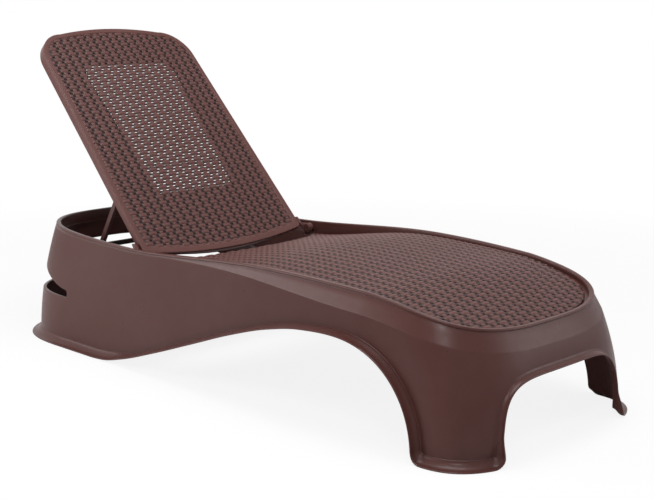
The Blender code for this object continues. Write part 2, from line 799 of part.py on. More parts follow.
def back_outline(inset):
    """The back's outline in its own plane, as (up, across), inset by this much: foot edge, side, top.

    It narrows evenly toward the top.
    """
    half, corner = BACK_HALF - inset, BACK_CORNER - inset
    start = BACK_START + inset
    points = []
    for k in range(2 * BACK_STEPS + 1):
        share = k / BACK_STEPS - 1
        points.append((start - BACK_FOOT_SAG * (1 - share**2), half * share))
    for k in range(BACK_STEPS):
        turn = math.pi / 2 * k / BACK_STEPS
        points.append((BACK_SIDE + corner * math.sin(turn), half - corner + corner * math.cos(turn)))
    top = BACK_SIDE + corner
    for k in range(2 * BACK_STEPS + 1):
        share = 1 - k / BACK_STEPS
        points.append((top + BACK_TOP_RISE * (1 - share**2), (half - corner) * share))
    for k in range(1, BACK_STEPS + 1):
        turn = math.pi / 2 * (1 - k / BACK_STEPS)
        points.append((BACK_SIDE + corner * math.sin(turn), corner - half - corner * math.cos(turn)))
    return [(up, across * (1 - BACK_TAPER / BACK_HALF * up / BACK_SIDE)) for up, across in points]


def window_outline(outside):
    """The frame's window, with one point for each point of the outline round it."""
    middle = (WINDOW_FROM + WINDOW_TO) / 2
    turns = [math.atan2(across / BACK_HALF, (up - middle) / (BACK_SIDE / 2)) for up, across in outside]
    return [rounded_rectangle(turn, middle) for turn in turns]


def rounded_rectangle(turn, middle):
    high, wide = (WINDOW_TO - WINDOW_FROM) / 2, WINDOW_HALF
    up, across = math.cos(turn), math.sin(turn)
    reach = (abs(up) ** WINDOW_POWER + abs(across) ** WINDOW_POWER) ** (-1 / WINDOW_POWER)
    return middle + high * reach * up, wide * reach * across


def flat_ring(outline, level):
    return [Vector((up, across, level)) for up, across in outline]


def make_back_panel(plan, parent, material):
    """A shallow tray, open behind, with a turning eye at each lower corner."""
    back = BACK_FACE - BACK_DEEP
    rings = [
        flat_ring(back_outline(BACK_EDGE), BACK_FACE),
        flat_ring(back_outline(0), BACK_FACE - BACK_EDGE),
        flat_ring(back_outline(0), back),
        flat_ring(back_outline(BACK_SKIN), back),
        flat_ring(back_outline(BACK_SKIN), BACK_FACE - BACK_SKIN),
    ]
    panel = add_object("back_panel", *loft(rings), material, parent)
    lip = inner_lip(plan)
    for side in (-1, 1):
        join(panel, eye_solids(side, lip), material, "eye_near" if side > 0 else "eye_far")
    start, end = BACK_HALF + PIN_HEAD, lip + OVERRUN
    return panel, [bore((0, 0, 0), (0, side, 0), start, end, PIN_RADIUS + BORE_PLAY) for side in (-1, 1)]


def inner_lip(plan):
    """How far the rim's inner lip is from the middle, beside the head side of the eyes."""
    way = plan.way_at_x(HINGE_X)
    for _ in range(6):
        way += (HINGE_X - EYE_RADIUS - plan.point(way, 0).x) / plan.length
    return abs(plan.point(way, 0).y) - RIM_TOP * abs(plan.outward(way, 0).y)


def eye_solids(side, lip):
    """An eye round the hinge pin, the arm that carries it, and the block between the arm and the tray."""
    high = BACK_FACE - BACK_EDGE / 2
    low = high - EYE_ARM_HIGH
    arc = []
    for k in range(ROUND_SIDES // 2 + 1):
        turn = math.pi * (EYE_TURN_SHARE + k / (ROUND_SIDES // 2))
        arc.append((EYE_RADIUS * math.cos(turn), EYE_RADIUS * math.sin(turn)))
    arm = arc + [(EYE_ARM_FROM, low), (EYE_ARM_TO, low), (EYE_ARM_TO, high), (EYE_ARM_FROM, high)]
    block_from, block_to = EYE_ARM_FROM + BACK_EDGE, EYE_ARM_TO - BACK_EDGE
    block_low, block_high = low + BACK_EDGE, high - BACK_EDGE
    block = [(block_from, block_low), (block_to, block_low)]
    block += [(block_to, block_high), (block_from, block_high)]
    start = BACK_HALF + PIN_HEAD + GAP
    radius = EYE_RADIUS - GAP
    inside = BACK_HALF - BACK_TAPER * block_to / BACK_SIDE - BACK_SKIN / 4
    return [
        extruded(block, side * inside, side * (start + EYE_ARM / 2), side_view),
        extruded(arm, side * start, side * (start + EYE_ARM), side_view),
        turned([(start + EYE_ARM / 2, radius), (lip - EYE_WALL_PLAY, radius)], (0, 0, 0), (0, side, 0)),
    ]


def frame_faces():
    """The front and rear levels of the ring frame, behind the panel's skin."""
    front = BACK_FACE - BACK_SKIN - GAP
    return front, front - FRAME_THICK


def make_back_frame(parent, material):
    """A flat ring round the window, with two pairs of lugs for the prop."""
    front, rear = frame_faces()
    outer = back_outline(BACK_SKIN + GAP)
    inner = window_outline(outer)
    rings = [flat_ring(outer, front), flat_ring(outer, rear)]
    rings += [flat_ring(inner, rear), flat_ring(inner, front)]
    frame = add_object("back_frame", *loft(rings, closed=True), material, parent)
    lugs = []
    for side in (-1, 1):
        for turn in (-1, 1):
            near = PROP_THICK / 2 + PROP_LUG_PLAY
            inside = PROP_SIDE + turn * near
            outside = PROP_SIDE + turn * (near + PROP_LUG_THICK)
            lugs.append(lug_solid(side * min(inside, outside), side * max(inside, outside), rear))
    join(frame, lugs, material, "lug_tool")
    reach = PROP_LUG_HALF + OVERRUN
    holes = []
    for side in (-1, 1):
        base = (PROP_UP, side * PROP_SIDE, -PROP_BEHIND)
        holes.append(bore(base, (0, 1, 0), -reach, reach, PROP_PIN_RADIUS + BORE_PLAY))
    return frame, holes


def lug_solid(low, high, rear):
    outline = [(PROP_UP - PROP_LUG_HALF, rear + FRAME_THICK / 2)]
    for k in range(ROUND_SIDES // 2 + 1):
        turn = math.pi * (1 + k / (ROUND_SIDES // 2))
        radius = PROP_PIN_HEAD
        outline.append((PROP_UP + radius * math.cos(turn), -PROP_BEHIND + radius * math.sin(turn)))
    outline.append((PROP_UP + PROP_LUG_HALF, rear + FRAME_THICK / 2))
    return extruded(outline, low, high, side_view)


def make_hinge_pins(plan, material):
    """A domed head inside each eye, and a shank through the eye and the wall's inner lip."""
    lip = inner_lip(plan)
    for name, side in (("hinge_pin_near", -1), ("hinge_pin_far", 1)):
        inside = BACK_HALF + GAP
        profile = [
            (inside, PIN_HEAD_RADIUS - 2 * PIN_DOME), (inside + PIN_DOME / 3, PIN_HEAD_RADIUS - PIN_DOME),
            (inside + PIN_DOME, PIN_HEAD_RADIUS), (BACK_HALF + PIN_HEAD, PIN_HEAD_RADIUS),
            (BACK_HALF + PIN_HEAD, PIN_RADIUS), (lip + PIN_END, PIN_RADIUS),
        ]
        add_object(name, *turned(profile, (HINGE_X, 0, HINGE_Z), (0, side, 0)), material)
    return [
        bore((HINGE_X, 0, HINGE_Z), (0, side, 0), lip - OVERRUN, lip + PIN_END - GAP, PIN_RADIUS + BORE_PLAY)
        for side in (-1, 1)
    ]


def make_prop(parent, material, metal):
    """Two arms on pins, joined at their lower ends by the foot bar that drops into the notches."""
    bar_half = PROP_SIDE + PROP_THICK / 2
    for name, side in (("prop_arm_near", 1), ("prop_arm_far", -1)):
        outline = []
        for k in range(ROUND_SIDES // 2 + 1):
            turn = math.pi * (0.5 + k / (ROUND_SIDES // 2))
            outline.append((PROP_EYE_RADIUS * math.cos(turn), PROP_EYE_RADIUS * math.sin(turn)))
        outline += [(PROP_WIDE, -PROP_WIDE / 2), (PROP_LONG - PROP_WIDE, -PROP_WIDE / 2)]
        for k in range(ROUND_SIDES // 2 + 1):
            turn = math.pi * (k / (ROUND_SIDES // 2) - 0.5)
            radius = FOOT_BAR_RADIUS
            outline.append((PROP_LONG + radius * math.cos(turn), radius * math.sin(turn)))
        outline += [(PROP_LONG - PROP_WIDE, PROP_WIDE / 2), (PROP_WIDE, PROP_WIDE / 2)]
        low, high = side * PROP_SIDE - PROP_THICK / 2, side * PROP_SIDE + PROP_THICK / 2
        solid = extruded(outline, low, high, side_view)
        arm = add_object(name, *solid, material, parent)
        holes = [
            bore((0, 0, 0), (0, 1, 0), low - OVERRUN, high + OVERRUN, PROP_PIN_RADIUS + BORE_PLAY),
            bore((PROP_LONG, 0, 0), (0, 1, 0), low - OVERRUN, high + OVERRUN, FOOT_BAR_CORE + GAP),
        ]
        cut(arm, holes, material, name + "_bore_tool")
    inside = PROP_SIDE - PROP_THICK / 2 - GAP
    profile = [
        (-bar_half, FOOT_BAR_CORE), (-inside, FOOT_BAR_CORE), (-inside, FOOT_BAR_RADIUS),
        (inside, FOOT_BAR_RADIUS), (inside, FOOT_BAR_CORE), (bar_half, FOOT_BAR_CORE),
    ]
    add_object("prop_foot_bar", *turned(profile, (PROP_LONG, 0, 0), (0, 1, 0)), metal, parent)


def make_prop_pins(parent, metal):
    half = PROP_THICK / 2 + PROP_LUG_PLAY + PROP_LUG_THICK + GAP
    end = half + PROP_PIN_HEAD_THICK
    for name, side in (("prop_pin_near", 1), ("prop_pin_far", -1)):
        profile = [
            (-end, PROP_PIN_HEAD - GAP), (-half, PROP_PIN_HEAD), (-half, PROP_PIN_RADIUS),
            (half, PROP_PIN_RADIUS), (half, PROP_PIN_HEAD), (end, PROP_PIN_HEAD - GAP),
        ]
        base = (PROP_UP, side * PROP_SIDE, -PROP_BEHIND)
        add_object(name, *turned(profile, base, (0, 1, 0)), metal, parent)


def prop_foot(share):
    """Where the foot bar's axis lies, as (x, z), from rest (0) to the back's lowest place (1)."""
    angle = BACK_ANGLE + (BACK_LOWEST - BACK_ANGLE) * share
    slope = PROP_SLOPE + (PROP_LOWEST_SLOPE - PROP_SLOPE) * share
    x = HINGE_X - PROP_UP * math.cos(angle) - PROP_BEHIND * math.sin(angle) - PROP_LONG * math.cos(slope)
    z = HINGE_Z + PROP_UP * math.sin(angle) - PROP_BEHIND * math.cos(angle) - PROP_LONG * math.sin(slope)
    return x, z


def under_bar(share):
    x, z = prop_foot(share)
    return x, z - FOOT_BAR_RADIUS - RAIL_PLAY


def rail_outline(head_x):
    """The rail's side view as (x, z): a seat for the bar at rest, then notches under the bar's way."""
    rest_x, rest_z = under_bar(0)
    front = HINGE_BEAM_X - BEAM_WIDE / 2 - GAP
    foot_top = HINGE_BEAM_TOP - BEAM_EDGE
    points = [(front, foot_top), (rest_x + RAIL_LEVEL_RUN, rest_z - RAIL_FALL)]
    points.append((rest_x + FOOT_BAR_RADIUS, rest_z))
    for k in range(1, NOTCHES + 1):
        before_x, before_z = under_bar((k - 1) / NOTCHES)
        x, z = under_bar(k / NOTCHES)
        middle_x, middle_z = under_bar((k - NOTCH_WIDE_SHARE) / NOTCHES)
        floor = min(z, middle_z) - NOTCH_DEEP
        points += [(middle_x, min(middle_z, before_z, z)), (middle_x, floor), (x + FOOT_BAR_RADIUS, floor)]
        points.append((x, min(z, middle_z)))
    lowest = min(z for _, z in points[2:])
    points += [(head_x, lowest), (head_x, lowest - RAIL_DEEP)]
    points += [(rest_x + RAIL_LEVEL_RUN, rest_z - RAIL_FALL - RAIL_DEEP), (front, foot_top - RAIL_FOOT_HIGH)]
    return points


def wall_inside_end(plan, y, z):
    """How far the inside of the head wall is from the middle, at this side place and height."""
    way = 0.0
    for _ in range(SEARCH_TURNS):
        spot, _ = wall_point(plan, way, z)
        way += (y - abs(spot.y)) / plan.length * SEARCH_PACE
    spot, normal = wall_point(plan, way, z)
    return spot.x + WALL / abs(normal.x)


def make_rails(plan, material, metal):
    """The two rails, each screwed to the hinge beam and let into the head wall."""
    side = RAIL_SIDE + RAIL_THICK / 2
    _, last = under_bar(1)
    ends = [wall_inside_end(plan, side, z) for z in (last, last - RAIL_DEEP - NOTCH_DEEP)]
    head_x = max(ends) + RAIL_END_PLAY
    shapes = []
    for name, turn in (("near", -1), ("far", 1)):
        low, high = turn * RAIL_SIDE - RAIL_THICK / 2, turn * RAIL_SIDE + RAIL_THICK / 2
        solid = extruded(rail_outline(head_x), low, high, side_view)
        rail = add_object(f"notch_rail_{name}", *solid, material, smooth=False)
        base = (HINGE_BEAM_X + BEAM_WIDE / 2, turn * RAIL_SIDE, HINGE_BEAM_TOP - RAIL_FOOT_HIGH / 2)
        screw(f"rail_screw_{name}", base, (-1, 0, 0), RAIL_SCREW_LONG, metal)
        hole = screw_hole(base, (-1, 0, 0), RAIL_SCREW_LONG + GAP)
        cut(rail, [hole], material, f"rail_tool_{name}")
        shapes.append(hole)
    return shapes


def back_space():
    """Empties on the two moving axes: the back's, and the prop's inside it."""
    back = bpy.data.objects.new("back_axis", None)
    back.location = (HINGE_X, 0, HINGE_Z)
    back.rotation_mode = "ZYX"
    back.rotation_euler = (0, BACK_ANGLE, math.pi)
    prop = bpy.data.objects.new("prop_axis", None)
    prop.parent = back
    prop.location = (PROP_UP, 0, -PROP_BEHIND)
    prop.rotation_euler = (0, BACK_ANGLE + PROP_SLOPE, 0)
    for item in (back, prop):
        bpy.context.scene.collection.objects.link(item)
    return back, prop


def make_frame_screws(frame, metal):
    """Six screws from behind, through the frame and into the panel's skin."""
    _, rear = frame_faces()
    holes = []
    for row, up in enumerate(FRAME_SCREWS):
        for name, side in (("near", 1), ("far", -1)):
            base = (up, side * (BACK_HALF - FRAME_SCREW_EDGE), rear)
            screw(f"frame_screw_{name}_{row + 1}", base, (0, 0, 1), FRAME_SCREW_LONG, metal, frame.parent)
            holes.append(screw_hole(base, (0, 0, 1), FRAME_SCREW_LONG + GAP))
    return holes


def make_beams(plan, material, metal):
    """The cross-beams, each with two screws up into the seat and one up into the ledge at each end."""
    ledge_holes, seat_holes = [], []
    for number, place in enumerate(BEAM_PLACES):
        top = beam_top(place)
        item = beam(f"seat_beam_{number + 1}", plan, place, top, BEAM_HIGH, material)
        ledge_y = rim_half(place) - RIM_TOP - BEAM_SCREW_EDGE
        beam_holes = []
        for name, side in (("near", -1), ("far", 1)):
            base = (place, side * ledge_y, top - BEAM_HIGH)
            screw(f"ledge_screw_{name}_{number + 1}", base, (0, 0, 1), BEAM_HIGH + WALL, metal)
            hole = screw_hole(base, (0, 0, 1), BEAM_HIGH + WALL + OVERRUN / 2)
            beam_holes.append(hole)
            ledge_holes.append(hole)
            base = (place, side * SEAT_SCREW_SIDE, top - BEAM_HIGH)
            screw(f"seat_screw_{name}_{number + 1}", base, (0, 0, 1), BEAM_HIGH + SEAT_SCREW_BITE, metal)
            hole = screw_hole(base, (0, 0, 1), BEAM_HIGH + SEAT_SCREW_BITE + GAP)
            beam_holes.append(hole)
            seat_holes.append(hole)
        cut(item, beam_holes, material, f"seat_beam_{number + 1}_tool")
    return ledge_holes, seat_holes


def main():
    clear_scene()
    brown = finish("brown_plastic", BROWN, 0.42, 0.0)
    woven = finish("woven_look_plastic", BROWN, 0.48, 0.0)
    inner = finish("dark_brown_plastic", DARK_BROWN, 0.55, 0.0)
    steel = finish("plated_steel", STEEL, 0.35, 1.0)
    plan = Plan()
    body = make_body(plan, brown)
    seat = make_seat(woven)
    ledge_holes, seat_holes = make_beams(plan, inner, steel)
    pin_holes = make_hinge_pins(plan, brown)
    rail_holes = make_rails(plan, inner, steel)
    hinge_beam = beam("hinge_beam", plan, HINGE_BEAM_X, HINGE_BEAM_TOP, HINGE_BEAM_HIGH, inner)
    cut(hinge_beam, rail_holes, inner, "hinge_beam_tool")
    back_axis, prop_axis = back_space()
    panel, panel_holes = make_back_panel(plan, back_axis, woven)
    frame, frame_holes = make_back_frame(back_axis, inner)
    screw_holes = make_frame_screws(frame, steel)
    make_prop(prop_axis, brown, inner)
    make_prop_pins(back_axis, steel)
    cut(body, [slot_cutter(plan)], brown, "slot_tool")
    cut(body, ledge_holes + pin_holes, brown, "body_bore_tool")
    cut(seat, seat_holes + seat_openings(), woven, "seat_opening_tool")
    cut(panel, panel_holes + screw_holes + back_openings(), woven, "panel_opening_tool")
    cut(frame, frame_holes + screw_holes, inner, "frame_bore_tool")


main()
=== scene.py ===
"""The finish of a moulded sun lounger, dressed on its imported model: a skirted shell, a seat and a tilting
back with a woven relief, the folding prop and the notched rails that carry it.

Metres, +X to the foot end, -Y the near side, +Z up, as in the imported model.
"""

import math

import bmesh
import bpy
import numpy as np
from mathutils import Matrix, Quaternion, Vector


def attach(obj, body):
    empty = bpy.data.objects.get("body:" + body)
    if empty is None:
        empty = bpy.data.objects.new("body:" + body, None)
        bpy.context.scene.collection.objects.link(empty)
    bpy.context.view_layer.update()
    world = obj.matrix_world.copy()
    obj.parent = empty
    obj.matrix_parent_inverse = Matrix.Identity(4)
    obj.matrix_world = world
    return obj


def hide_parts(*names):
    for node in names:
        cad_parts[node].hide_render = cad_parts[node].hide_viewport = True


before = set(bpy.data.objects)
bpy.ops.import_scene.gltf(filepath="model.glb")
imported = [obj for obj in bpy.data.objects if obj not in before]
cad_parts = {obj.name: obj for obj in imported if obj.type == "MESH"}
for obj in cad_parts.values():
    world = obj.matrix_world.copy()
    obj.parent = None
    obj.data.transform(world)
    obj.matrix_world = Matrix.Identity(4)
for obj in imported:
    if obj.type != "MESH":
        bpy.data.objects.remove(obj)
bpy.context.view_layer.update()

# The setting: a pale floor that runs out to a white world, soft light from above, and the camera at the
# photograph's place. None of it is part of the lounger.
CAMERA_PLACE = (2.5566, -2.4669, 1.0455)
CAMERA_AIM = (-0.685357, 0.701478, -0.195484)
CAMERA_ROLL = math.radians(0.1823)
CAMERA_LENS, CAMERA_WIDE = 69.198, 36.0
FLOOR_SIZE = 60.0
FLOOR_COLOUR = (0.86, 0.86, 0.86, 1)
FLOOR_WHITE_SHARES, FLOOR_WHITE_REACH = (0.86, 1.0), (1.3, 3.2)
WORLD_LEVEL = 0.22
LAMPS = (
    ("side_lamp", (-2.6, -3.2, 1.5), (-0.1, -0.3, 0.2), 2.4, 106.0),
    ("foot_lamp", (3.4, 2.6, 1.6), (0.6, 0.0, 0.3), 2.0, 34.0),
    ("top_lamp", (0.3, -0.2, 3.4), (0.1, 0.0, 0.3), 2.0, 84.0),
    ("shoulder_lamp", (2.6, -2.6, 3.6), (0.6, -0.3, 0.3), 0.9, 50.0),
)


def feed(tree, socket, value):
    """Links an output to a socket, or sets the socket to a plain value."""
    if isinstance(value, bpy.types.NodeSocket):
        tree.links.new(value, socket)
    else:
        socket.default_value = value


def put(tree, kind, *first, **named):
    """A node whose first inputs take these outputs or values, in order, and whose properties and other
    inputs take the named ones; an input's name has _ for each space.
    """
    node = tree.nodes.new(kind)
    for name, value in named.items():
        if hasattr(node, name):
            setattr(node, name, value)
        else:
            feed(tree, node.inputs[name.replace("_", " ")], value)
    for socket, value in zip(node.inputs, first):
        feed(tree, socket, value)
    return node


def reckon(tree, operation, *values):
    """The result of a sum on outputs or plain values."""
    return put(tree, "ShaderNodeMath", *values, operation=operation).outputs[0]


def rescale(tree, value, low, high, start=0.0, end=1.0):
    """The value that runs from start to end while the given one runs from low to high."""
    return put(tree, "ShaderNodeMapRange", value, low, high, start, end).outputs[0]


def stand(name, data, place, turn):
    """Puts a camera or a lamp in the scene, turned by a quaternion."""
    item = bpy.data.objects.new(name, data)
    item.location = place
    item.rotation_mode = "QUATERNION"
    item.rotation_quaternion = turn
    scene.collection.objects.link(item)
    return item


scene = bpy.context.scene
scene.view_settings.view_transform = "Standard"
camera_data = bpy.data.cameras.new("camera")
camera_data.lens = CAMERA_LENS
camera_data.sensor_width = CAMERA_WIDE
camera_data.sensor_fit = "HORIZONTAL"
camera_turn = Vector(CAMERA_AIM).to_track_quat("-Z", "Y") @ Quaternion((0, 0, 1), CAMERA_ROLL)
scene.camera = stand("camera", camera_data, CAMERA_PLACE, camera_turn)

for lamp_name, lamp_place, lamp_aim, lamp_size, lamp_power in LAMPS:
    lamp_data = bpy.data.lights.new(lamp_name, "AREA")
    lamp_data.shape = "SQUARE"
    lamp_data.size = lamp_size
    lamp_data.energy = lamp_power
    lamp_turn = (Vector(lamp_aim) - Vector(lamp_place)).to_track_quat("-Z", "Y")
    stand(lamp_name, lamp_data, lamp_place, lamp_turn)

world = bpy.data.worlds.new("white_studio")
scene.world = world
world.use_nodes = True
sky = world.node_tree
sky.nodes.clear()
sky_rays = put(sky, "ShaderNodeLightPath").outputs
seen_or_glossy = reckon(sky, "MAXIMUM", sky_rays["Is Camera Ray"], sky_rays["Is Glossy Ray"])
seen_at_all = reckon(sky, "MAXIMUM", seen_or_glossy, sky_rays["Is Transmission Ray"])
light_sky = put(sky, "ShaderNodeBackground", Strength=WORLD_LEVEL).outputs[0]
white_sky = put(sky, "ShaderNodeBackground", Color=(1, 1, 1, 1)).outputs[0]
sky_mix = put(sky, "ShaderNodeMixShader", seen_at_all, light_sky, white_sky)
put(sky, "ShaderNodeOutputWorld", sky_mix.outputs[0])

floor_mesh = bpy.data.meshes.new("floor")
floor_corners = ((-1, -1), (1, -1), (1, 1), (-1, 1))
floor_points = [(x * FLOOR_SIZE / 2, y * FLOOR_SIZE / 2, 0.0) for x, y in floor_corners]
floor_mesh.from_pydata(floor_points, [], [(0, 1, 2, 3)])
floor = bpy.data.objects.new("floor", floor_mesh)
scene.collection.objects.link(floor)
floor_finish = bpy.data.materials.new("pale_floor")
floor_finish.use_nodes = True
floor_tree = floor_finish.node_tree
floor_tree.nodes.clear()
floor_cloth = put(floor_tree, "ShaderNodeBsdfDiffuse", Color=FLOOR_COLOUR).outputs[0]
floor_white = put(floor_tree, "ShaderNodeEmission").outputs[0]
floor_place = put(floor_tree, "ShaderNodeNewGeometry").outputs["Position"]
floor_reach = put(floor_tree, "ShaderNodeVectorMath", floor_place, operation="LENGTH").outputs["Value"]
floor_fade = rescale(floor_tree, floor_reach, *FLOOR_WHITE_REACH, *FLOOR_WHITE_SHARES)
floor_seen = put(floor_tree, "ShaderNodeLightPath").outputs["Is Camera Ray"]
floor_share = reckon(floor_tree, "MULTIPLY", floor_seen, floor_fade)
floor_mix = put(floor_tree, "ShaderNodeMixShader", floor_share, floor_cloth, floor_white)
put(floor_tree, "ShaderNodeOutputMaterial", floor_mix.outputs[0])
floor_mesh.materials.append(floor_finish)

# Body shell: one large injection moulding in satin brown polypropylene, with a rounded rim, a chamfer
# below it that fades towards the head, a skirt cut into legs by arches, and a flange all round its lower
# edge. It carries everything else.
BODY_LENGTH, BODY_WIDTH = 1.920, 0.7612
RIM_LENGTH = 1.802
RIM_HALF_WIDEST, RIM_WIDEST_X = 0.3554, -0.030
RIM_HALF_HEAD, RIM_HEAD_X = 0.3296, -0.634
RIM_HALF_FOOT, RIM_FOOT_X = 0.3246, 0.726
RIM_HEAD_CAP, RIM_FOOT_CAP = 0.4185, 0.208
HEM_HEAD_CAP, HEM_FOOT_CAP = 0.302, 0.162
RIM_HEAD_POWER, RIM_FOOT_POWER = 3.0, 3.05
HEM_HEAD_POWER, HEM_FOOT_POWER = 2.9, 3.17
RIM_HEAD_Z = 0.356
RIM_HINGE_X, RIM_HINGE_Z = -0.340, 0.348
RIM_PEAK_X, RIM_PEAK_Z = 0.270, 0.379
RIM_FALL_X, RIM_FALL_Z = 0.600, 0.368
RIM_FOOT_Z, RIM_FALL_SHARE = 0.298, 0.45
RIM_TOP, RIM_ROUND = 0.014, 0.004
INNER_LIP, LIP_BEAD = 0.034, 0.002
SHOULDER_DROP, SHOULDER_OUT = 0.040, 0.021
SHOULDER_START_X, SHOULDER_FULL_X = -0.150, 0.600
EDGE_DROP = 0.006
BEAD_DEEP, BEAD_HIGH, BEAD_SHARES = 0.0014, 0.0034, (0.3, 0.6)
CHAMFER_INSET, SOFT_EDGE, WALL_ROW_POWER = 0.0002, 0.0015, 1.4
CHAMFER_ROW_SHARES = (0.0, 0.35, 0.70, 0.94)
WALL, WALL_BULGE_POWER, FOOT_BULGE = 0.004, 1.84, 0.007
HEM_OUT, HEM_FLOOR_HIGH, HEM_ARCH_HIGH, HEM_EDGE = 0.028, 0.021, 0.011, 0.0035
HEM_FOOT_SHARE, HEM_FOOT_START_Z, HEM_FOOT_FULL_Z = 0.55, 0.010, 0.075
HEM_FACING_SHARES, HEM_FLARE_POWER = (0.3, 0.9), 2.4
HEM_EASE, HEM_BEAD, HEM_STEPS = 0.0012, 0.0016, 6
ARCH_START_X, ARCH_TOP_X, ARCH_HIGH = -0.470, 0.530, 0.2575
LEG_X, ARCH_LEG_POWER = 0.784, 2.36
ARCH_RISE_SHARES = (
    (0.0, 0.0), (0.06, 0.012), (0.16, 0.095), (0.30, 0.268), (0.48, 0.513), (0.64, 0.730), (0.79, 0.897),
    (0.91, 0.980), (1.0, 1.0),
)
FOOT_ARCH_HALF, FOOT_ARCH_HIGH, FOOT_ARCH_POWER = 0.2406, 0.1896, 5.5
LEG_CORNER, STEEP_SHARE = 0.026, 0.6
SLOT_BOTTOM, SLOT_END_X = 0.146, -0.630
SLOT_END_HIGH, SLOT_MIDDLE_HIGH = 0.026, 0.114
SLOT_SPREAD_POWER, SLOT_RISE_POWER = 2.6, 0.62
SLOT_LIP, SLOT_ROUND, SLOT_EASE_SHARE = 0.010, 0.0018, 0.3
SLOT_MARGIN, SLOT_RINGS = 0.034, 5
LEDGE, LEDGE_FROM, LEDGE_TO = 0.019, 0.055, 0.025
SEAT_HEAD_X, SEAT_THICK, SEAT_PLAY = -0.235, 0.006, 0.0006
SEAT_DROP_HINGE, SEAT_DROP_FOOT, SEAT_DROP_X = 0.036, 0.007, 0.250
BODY_COLUMNS, WALL_ROWS, PATH_STEPS, ROUND_STEPS = 340, 20, 60, 4
BROWN = (0.068, 0.022, 0.018, 1)
BROWN_LIGHT = (0.102, 0.048, 0.045, 1)
# The last two: how much paler the highlight painted on edges is, and how much darker the shade painted in
# creases.
SPECULAR_LEVEL, GRAIN_DEEP, EDGE_HIGHLIGHT_PALER, CREASE_SHADE_DARKER = 0.20, 0.00004, 1.35, 0.45


def new_group(name, inputs, outputs):
    """A shader node group with its sockets, given as (name, kind, value) and (name, kind)."""
    tree = bpy.data.node_groups.new(name, "ShaderNodeTree")
    for socket_name, kind, value in inputs:
        socket = tree.interface.new_socket(socket_name, in_out="INPUT", socket_type=f"NodeSocket{kind}")
        socket.default_value = value
    for socket_name, kind in outputs:
        tree.interface.new_socket(socket_name, in_out="OUTPUT", socket_type=f"NodeSocket{kind}")
    return tree, tree.nodes.new("NodeGroupInput").outputs, tree.nodes.new("NodeGroupOutput").inputs


def blend(tree, share, first, second):
    """The colour that lies this share of the way from the first to the second."""
    mix = put(tree, "ShaderNodeMix", share, data_type="RGBA")
    feed(tree, mix.inputs[6], first)
    feed(tree, mix.inputs[7], second)
    return mix.outputs[2]


def make_moulded_skin():
    """Colour flow marks, uneven gloss and a fine spark-eroded grain, as moulded plastic has."""
    inputs = [("Colour", "Color", (0.1, 0.1, 0.1, 1)), ("Pale Colour", "Color", (0.2, 0.2, 0.2, 1))]
    inputs += [("Gloss Level", "Float", 0.4), ("Grain Size", "Float", 900.0)]
    outputs = [("Colour", "Color"), ("Roughness", "Float"), ("Height", "Float")]
    tree, start, end = new_group("moulded_skin", inputs, outputs)
    place = put(tree, "ShaderNodeTexCoord").outputs["Object"]
    flow = put(tree, "ShaderNodeTexNoise", place, Scale=3.2, Detail=3.0, Roughness=0.55, Distortion=0.6)
    cloud = put(tree, "ShaderNodeTexNoise", place, Scale=26.0, Detail=4.0)
    grain = put(tree, "ShaderNodeTexNoise", place, Scale=start["Grain Size"], Detail=2.0)
    scuff = put(tree, "ShaderNodeTexNoise", place, Scale=70.0, Detail=5.0, Roughness=0.7)
    flow_share = rescale(tree, flow.outputs[0], 0.30, 0.75, 0.0, 0.22)
    cloud_share = rescale(tree, cloud.outputs[0], 0.35, 0.70, 0.0, 0.10)
    pale_share = reckon(tree, "ADD", flow_share, cloud_share)
    gloss_swing = rescale(tree, scuff.outputs[0], 0.3, 0.7, -0.05, 0.07)
    feed(tree, end["Colour"], blend(tree, pale_share, start["Colour"], start["Pale Colour"]))
    feed(tree, end["Roughness"], reckon(tree, "ADD", gloss_swing, start["Gloss Level"]))
    feed(tree, end["Height"], grain.outputs[0])
    return tree


def make_painted_edge_light():
    """Edges and corners painted paler as a highlight, and creases painted darker as shade, from how the
    surface bends.
    """
    inputs = [("Colour", "Color", (0.1, 0.1, 0.1, 1)), ("Rubbed Colour", "Color", (0.3, 0.3, 0.3, 1))]
    inputs += [("Crease Shade Colour", "Color", (0.02, 0.02, 0.02, 1)), ("Rubbed Amount", "Float", 0.5)]
    tree, start, end = new_group("painted_edge_light", inputs, [("Colour", "Color")])
    bend = put(tree, "ShaderNodeNewGeometry").outputs["Pointiness"]
    place = put(tree, "ShaderNodeTexCoord").outputs["Object"]
    patchy = put(tree, "ShaderNodeTexNoise", place, Scale=40.0, Detail=4.0)
    # Convex edges get a painted highlight, concave creases a painted shade.
    edge = rescale(tree, bend, 0.52, 0.66)
    crease = rescale(tree, bend, 0.49, 0.36, 0.0, 0.8)
    patch = rescale(tree, patchy.outputs[0], 0.25, 0.7, 0.4, 1.0)
    lit_edge = reckon(tree, "MULTIPLY", edge, patch)
    amount = put(tree, "ShaderNodeMath", lit_edge, start["Rubbed Amount"], operation="MULTIPLY", use_clamp=True)
    edge_light = blend(tree, amount.outputs[0], start["Colour"], start["Rubbed Colour"])
    feed(tree, end["Colour"], blend(tree, crease, edge_light, start["Crease Shade Colour"]))
    return tree


MOULDED_SKIN = make_moulded_skin()
PAINTED_EDGE_LIGHT = make_painted_edge_light()


